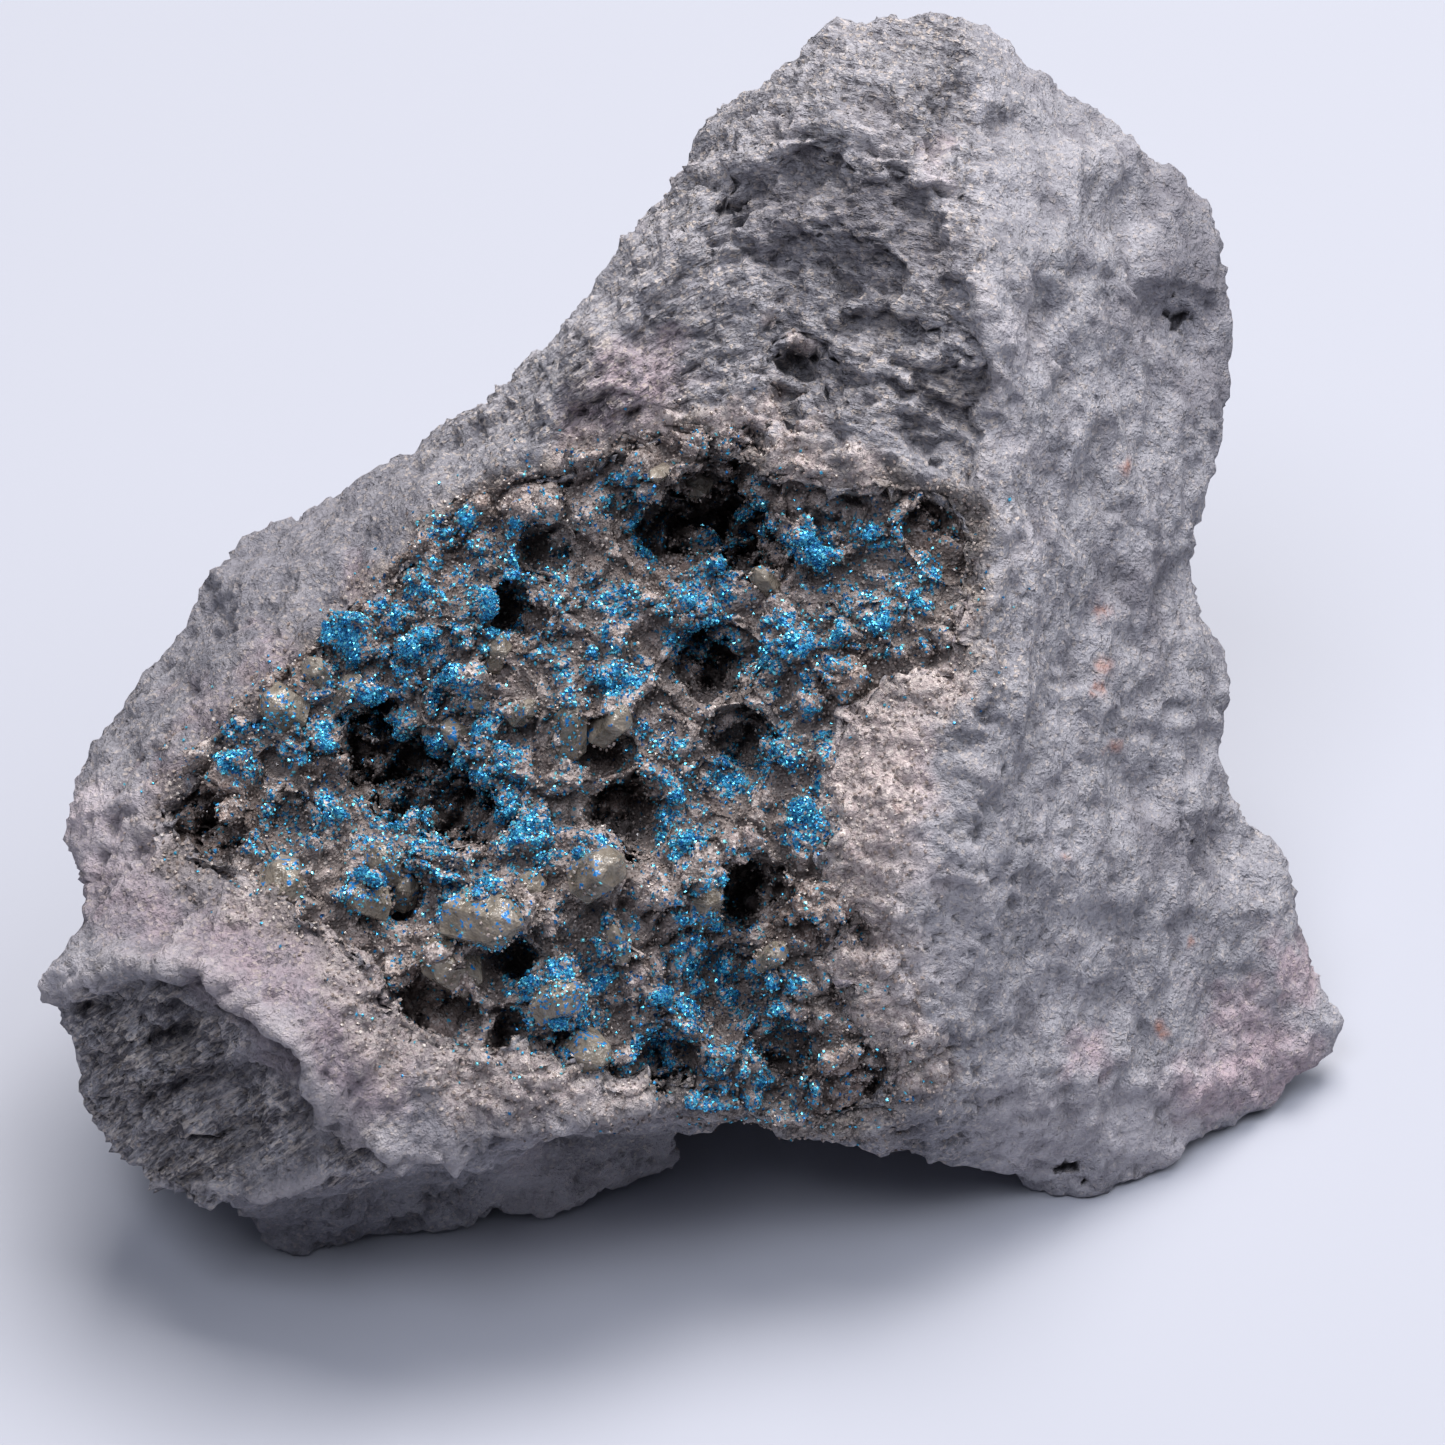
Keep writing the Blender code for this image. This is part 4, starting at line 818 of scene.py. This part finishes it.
def tinted(tree, tone, tints):
    """Turns a tone to tints, one after the other. Each is (mask, value, low, high, most, tint): the tint
    grows to most as the value goes from low to high, times the mask."""
    for mask, value, low, high, most, tint in tints:
        tone = blend(tree, times(tree, mask, remap(tree, value, low, high, 0.0, most)), tone, tint)
    return tone


def bump(tree, height, distance, strength=1.0, below=None):
    """Tilts the surface by a height, whose full range is a distance in mm."""
    inputs = {"Height": height, "Distance": distance * MM, "Strength": strength}
    if below:
        inputs["Normal"] = below
    return add(tree, "ShaderNodeBump", None, inputs).outputs["Normal"]


def rock_material():
    """Dull grey rock: fibrous and grainy, pale and sugary beside the hollow, pink in patches."""
    material, tree, shader, place = new_material("grey fibrous rock", 0.9, 0.25)
    streak = attribute_of(tree, "streak", "Vector")
    glass = attribute_of(tree, "glass", "Vector")
    fibrous = attribute_of(tree, "fibrous")
    flank = attribute_of(tree, "flank")
    broad = noise_of(tree, place, 5.0, 4.0)
    middle = noise_of(tree, place, 1.3, 4.0, 0.65)
    threads = noise_of(tree, streak, 0.32, 3.0, 0.7, (3.2, 1.0, 2.0), 0.3)
    upright = noise_of(tree, glass, 0.42, 4.0, 0.7, (1.0, 1.8, 1.0), 0.2)
    grit = noise_of(tree, place, 0.38, 4.0, 0.72, None, 0.3)
    fine = between(tree, fibrous, grit, threads)
    fine = between(tree, times(tree, flank, 0.55), fine, upright)
    speck, far, other = grains_of(tree, place, 0.17)
    height = attribute_of(tree, "height")
    pale = attribute_of(tree, "pale")
    rim = attribute_of(tree, "rim")

    tone = blend(tree, remap(tree, broad, 0.35, 0.65), "#85858e", "#a2a1aa")
    tone = blend(tree, remap(tree, middle, 0.35, 0.68, 0.0, 0.5), tone, "#afaeb4")
    pink = times(tree, attribute_of(tree, "pink"), remap(tree, middle, 0.3, 0.6, 0.35, 0.9))
    tone = blend(tree, pink, tone, "#b3a0a9")
    lively = remap(tree, attribute_of(tree, "calm"), 0.0, 1.0, 1.0, 0.5)
    tone = tinted(tree, tone, (
        (lively, fine, 0.5, 0.32, 0.8, "#4d4b51"), (lively, fine, 0.56, 0.7, 0.5, "#c4bfc2"),
        (lively, speck, 0.28, 0.05, 0.5, "#55525a"), (lively, speck, 0.78, 0.98, 0.6, "#d6c7bb"),
    ))
    brown = blend(tree, remap(tree, speck, 0.1, 0.95), "#6f645c", "#ab9f96")
    brown = blend(tree, remap(tree, grit, 0.5, 0.34, 0.0, 0.75), brown, "#3a332e")
    tone = blend(tree, times(tree, rim, 0.75), tone, brown)
    sugar = blend(tree, remap(tree, speck, 0.1, 0.95), "#cdbcba", "#e8dcd8")
    clots = noise_of(tree, place, 0.75, 3.0, 0.6)
    sugar = tinted(tree, sugar, (
        (1.0, clots, 0.5, 0.38, 0.55, "#74696f"), (1.0, grit, 0.5, 0.34, 0.45, "#7d6f74"),
        # Painted highlight on the raised sugary lumps.
        (1.0, height, 0.0, 0.35, 0.5, "#e6dad5"),
    ))
    tone = blend(tree, times(tree, pale, 0.8), tone, sugar)
    # Painted shade: the rock is darker in its patches of painted shade and on its left side.
    tone = blend(tree, times(tree, attribute_of(tree, "painted_shade"), 0.5), tone, "#5c5a64")
    # Painted light: the rock is lighter in its patches of painted light.
    tone = blend(tree, times(tree, attribute_of(tree, "painted_light"), 0.45), tone, "#c6c1c8")
    threaded = remap(tree, fibrous, 0.35, 1.0)
    dark = attribute_of(tree, "dark")
    mottle = noise_of(tree, glass, 1.4, 4.0, 0.6, (1.0, 1.6, 1.0))
    tone = tinted(tree, tone, (
        (threaded, fine, 0.5, 0.36, 0.2, "#38343a"), (threaded, fine, 0.5, 0.64, 0.25, "#c2bab8"),
        (dark, middle, 0.56, 0.38, 0.7, "#302b30"), (dark, fine, 0.5, 0.62, 0.5, "#d0c6c0"),
        (flank, mottle, 0.52, 0.34, 0.5, "#5f5d67"),
    ))
    rust = times(tree, attribute_of(tree, "rust"), remap(tree, middle, 0.35, 0.55))
    tone = blend(tree, times(tree, rust, 0.6), tone, "#b0683f")
    # Painted shade in the low places of the relief and a painted highlight on its raised places.
    tone = tinted(tree, tone, (
        (1.0, height, -0.2, -0.9, 0.45, "#45434a"), (1.0, height, 0.15, 0.55, 0.35, "#b9b3b7"),
    ))
    # Painted shade inside the holes, on top of their real depth.
    tone = blend(tree, times(tree, attribute_of(tree, "hole"), 0.55), tone, "#2c292c")
    tree.links.new(tone, shader.inputs["Base Color"])

    normal = bump(tree, far, 0.08, 0.6)
    normal = bump(tree, fine, 0.36, remap(tree, lively, 0.3, 1.0, 0.6, 1.0), normal)
    normal = bump(tree, noise_of(tree, place, 0.9, 4.0, 0.7, None, 0.3), 0.5, 0.8, normal)
    normal = bump(tree, mottle, 0.7, times(tree, flank, 0.8), normal)
    tree.links.new(normal, shader.inputs["Normal"])
    tree.links.new(remap(tree, other, 0.93, 0.99, 0.9, 0.35), shader.inputs["Roughness"])
    return material


def crust_material():
    """Grey-brown velvet of tiny crystals, with blue flakes between the larger grains."""
    material, tree, shader, place = new_material("brown druse with blue flakes", 0.6, 0.4)
    broad = noise_of(tree, place, 2.4, 3.0)
    fine = noise_of(tree, place, 0.26, 3.0, 0.7)
    speck, far, other = grains_of(tree, place, 0.17)
    blue = attribute_of(tree, "blue")
    crevice = attribute_of(tree, "crevice")

    tone = blend(tree, remap(tree, broad, 0.35, 0.65), "#998b8a", "#bbaeaa")
    tone = blend(tree, times(tree, attribute_of(tree, "brown"), 0.55), tone, "#846c60")
    tone = blend(tree, remap(tree, speck, 0.6, 0.95, 0.0, 0.6), tone, "#dcd5d4")
    tone = blend(tree, remap(tree, fine, 0.48, 0.34, 0.0, 0.6), tone, "#574b47")
    flake = is_less(tree, other, blue)
    deep = blend(tree, remap(tree, speck, 0.15, 0.9), "#1f66a8", "#55bce2")
    tone = blend(tree, flake, tone, deep)
    # Painted shade in the crevices between the knobs.
    tone = blend(tree, remap(tree, crevice, 0.4, 0.95, 0.0, 0.64), tone, "#2f2725")
    # Painted shade inside the holes, on top of their real depth.
    tone = blend(tree, times(tree, attribute_of(tree, "hole"), 0.4), tone, "#2a231e")
    tree.links.new(tone, shader.inputs["Base Color"])
    tree.links.new(times(tree, flake, 0.4), shader.inputs["Metallic"])
    tree.links.new(remap(tree, flake, 0.0, 1.0, 0.62, 0.3), shader.inputs["Roughness"])
    normal = bump(tree, far, 0.14, 0.9)
    normal = bump(tree, fine, 0.22, 0.9, normal)
    tree.links.new(normal, shader.inputs["Normal"])
    return material


def blue_material():
    """Blue crystals with a metal shine, some deep blue and some bright, the palest as painted glints."""
    material, tree, shader, _ = new_material("blue metallic crystal", 0.24)
    shader.inputs["Metallic"].default_value = 0.6
    tint = attribute_of(tree, "tint")
    tone = blend(tree, remap(tree, tint, 0.0, 0.6), "#1e6dae", "#4cbae2")
    # A painted glint: the palest grains turn pale cyan, as if catching the light.
    tone = blend(tree, remap(tree, tint, 0.7, 1.0), tone, "#8cf2ff")
    tree.links.new(tone, shader.inputs["Base Color"])
    return material


def sugar_material():
    """Tiny grains of quartz, from grey-brown to pale, a little see-through."""
    material, tree, shader, _ = new_material("sugary quartz grains", 0.22)
    shader.inputs["IOR"].default_value = QUARTZ_BENDS_LIGHT
    shader.inputs["Transmission Weight"].default_value = 0.3
    tint = attribute_of(tree, "tint")
    tone = blend(tree, remap(tree, tint, 0.0, 0.7), "#8e807b", "#b4a7a2")
    tone = blend(tree, remap(tree, tint, 0.85, 1.0), tone, "#d2cac5")
    tree.links.new(tone, shader.inputs["Base Color"])
    return material


def clear_material():
    """Tan see-through quartz, a little cloudy, with blue dust on it."""
    material, tree, shader, place = new_material("tan clear crystal", 0.2)
    shader.inputs["IOR"].default_value = QUARTZ_BENDS_LIGHT
    cloud = noise_of(tree, place, 0.9, 3.0)
    _, _, other = grains_of(tree, place, 0.2)
    blue = times(tree, attribute_of(tree, "blue"), remap(tree, cloud, 0.5, 0.6))
    flake = is_less(tree, other, times(tree, blue, 0.45))
    tone = blend(tree, remap(tree, cloud, 0.3, 0.7), "#7f7568", "#bcb2a6")
    tone = blend(tree, flake, tone, "#1c74b8")
    tree.links.new(tone, shader.inputs["Base Color"])
    tree.links.new(remap(tree, flake, 0.0, 1.0, 0.45, 0.0), shader.inputs["Transmission Weight"])
    normal = bump(tree, noise_of(tree, place, 0.25, 2.0), 0.06, 0.7)
    normal = bump(tree, noise_of(tree, place, 0.9, 3.0), 0.4, 0.9, normal)
    tree.links.new(normal, shader.inputs["Normal"])
    absorb = add(tree, "ShaderNodeVolumeAbsorption", None, {"Color": colour("#cbb496"), "Density": 350.0})
    tree.links.new(absorb.outputs[0], tree.nodes["Material Output"].inputs["Volume"])
    return material


def floor_material():
    """Plain pale paper."""
    material, _, shader, _ = new_material("pale paper", 0.9, 0.2)
    shader.inputs["Base Color"].default_value = colour("#a6a9b4")
    return material


def set_camera():
    """The camera where the eye was, square to the glass."""
    lens = bpy.data.cameras.new("eye")
    lens.sensor_width = 36.0
    lens.lens = 36.0 * SIGHT_DISTANCE / PICTURE_WIDTH
    lens.clip_start = 0.01
    lens.clip_end = 10.0
    camera = bpy.data.objects.new("eye", lens)
    camera.location = Vector(from_glass(np.array([(0.0, 0.0, 0.0)]))[0] + SIGHT * SIGHT_DISTANCE) * MM
    camera.rotation_mode = "QUATERNION"
    camera.rotation_quaternion = (-Vector(SIGHT)).to_track_quat("-Z", "Y")
    bpy.context.scene.collection.objects.link(camera)
    bpy.context.scene.camera = camera


def area_light(name, place, size, power, tint):
    """A soft square light that points at the specimen."""
    lamp = bpy.data.lights.new(name, "AREA")
    lamp.shape = "SQUARE"
    lamp.size = size
    lamp.energy = power
    lamp.color = colour(tint)[:3]
    light = bpy.data.objects.new(name, lamp)
    light.location = place
    light.rotation_mode = "QUATERNION"
    light.rotation_quaternion = (Vector((0.0, 0.0, 0.02)) - Vector(place)).to_track_quat("-Z", "Y")
    bpy.context.scene.collection.objects.link(light)


def set_stage():
    """A pale floor, a soft key light from above and behind, weaker ones from the right and the front."""
    floor_mesh = bpy.data.meshes.new("floor")
    half = 3.0
    corners = [(-half, -half, 0), (half, -half, 0), (half, half, 0), (-half, half, 0)]
    floor_mesh.from_pydata(corners, [], [(0, 1, 2, 3)])
    floor = add_object("floor", floor_mesh)
    floor.data.materials.append(floor_material())
    area_light("key", (0.06, 0.24, 0.80), 0.44, 9.2, "#fffaf4")
    area_light("side", (0.46, 0.06, 0.62), 0.70, 4.2, "#fafbff")
    area_light("fill", (-0.18, -0.32, 0.70), 0.30, 2.5, "#f2f5ff")
    world = bpy.data.worlds.new("studio")
    world.use_nodes = True
    background = world.node_tree.nodes["Background"]
    background.inputs["Color"].default_value = colour("#dfe4f4")
    background.inputs["Strength"].default_value = 0.12
    bpy.context.scene.world = world
    bpy.context.scene.view_settings.view_transform = "Standard"


def crust_masks(piece):
    """Where the crust, or a large crystal in it, is blue or brown and where grains stand on it."""
    mesh = piece.data
    places, normals = places_of(mesh), normals_of(mesh)
    glass = onto_glass(places)
    facing = np.clip((normals @ SIGHT + 0.25) / 0.3, 0.0, 1.0)
    wandered = shifted(glass, 0.7 * wander_of(places, 1.3, 2, 31.0, 37.0))
    patchy = np.clip(0.85 + 1.2 * field(places, 1.0, 2, shift=41.0), 0.2, 1.0)
    hole = np.clip(hole_depths(glass) / DEEP_HOLE, 0.0, 1.0)
    crevice = values_of(mesh, "crevice")
    on_knobs = np.clip(1.3 - 1.2 * crevice, 0.12, 1.0)
    blue = np.clip(2.1 * patch(wandered, BLUE, 0.6) * patchy, 0.1, 1.0) * on_knobs
    blue = blue * (1.0 - 0.85 * hole) * facing
    put_attribute(mesh, "blue", blue)
    put_attribute(mesh, "brown", patch(wandered, BROWN, 0.5))
    put_attribute(mesh, "sugar", (1.0 - 0.9 * blue) * (1.0 - 0.5 * hole) * (1.0 - 0.4 * crevice) * facing)
    coat = np.clip(0.3 + 2.4 * field(places, 1.4, 2, shift=45.0) - 0.35 * facing, 0.0, 1.0)
    put_attribute(mesh, "coat", coat)
    put_attribute(mesh, "dusting", blue * np.clip(5.0 * field(places, 1.8, 2, shift=47.0) - 0.5, 0.0, 1.0))


set_camera()
set_stage()

rock = make_rock()
rock.data.materials.clear()
rock.data.materials.append(rock_material())

crust = make_crust()
crust_masks(crust)
crust.data.materials.clear()
crust.data.materials.append(crust_material())

large = make_large_crystals(crust)
crust_masks(large)
large.data.materials.append(clear_material())
large.data.shade_flat()

blue_grain = grain_mesh("blue grain", 4, 0.55)
quartz_grain = grain_mesh("quartz grain", 5, 0.5)
blue = blue_material()
sugar = sugar_material()
blue_grains = scatter(
    "blue_crystals", crust, blue_grain, blue, "blue", 0.16,
    (0.14, 0.14, 0.08), (0.3, 0.28, 0.18), 50.0, 0.04, 3,
)
blue_on_rock = scatter(
    "blue_crystals_on_rim", rock, blue_grain, blue, "blue", 0.24,
    (0.12, 0.12, 0.1), (0.26, 0.24, 0.2), 50.0, 0.04, 11,
)
blue_on_large = scatter(
    "blue_crystals_on_large", large, blue_grain, blue, "dusting", 0.18,
    (0.12, 0.12, 0.08), (0.26, 0.24, 0.16), 50.0, 0.04, 5,
)
sugar_on_large = scatter(
    "quartz_on_large", large, quartz_grain, sugar, "coat", 0.3,
    (0.12, 0.12, 0.16), (0.24, 0.24, 0.3), 40.0, 0.06, 13,
)
sugar_grains = scatter(
    "quartz_druse", crust, quartz_grain, sugar, "sugar", 0.27,
    (0.1, 0.1, 0.1), (0.25, 0.25, 0.24), 50.0, 0.05, 7,
)
rim_grains = scatter(
    "quartz_rim", rock, quartz_grain, sugar, "sugar", 0.27,
    (0.14, 0.14, 0.1), (0.3, 0.3, 0.2), 50.0, 0.06, 9,
)

pieces = (
    rock, crust, large, blue_grains, blue_on_large, blue_on_rock,
    sugar_grains, sugar_on_large, rim_grains,
)
for piece in pieces:
    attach(piece, "root")
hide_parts("matrix")
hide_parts("crystal_crust")
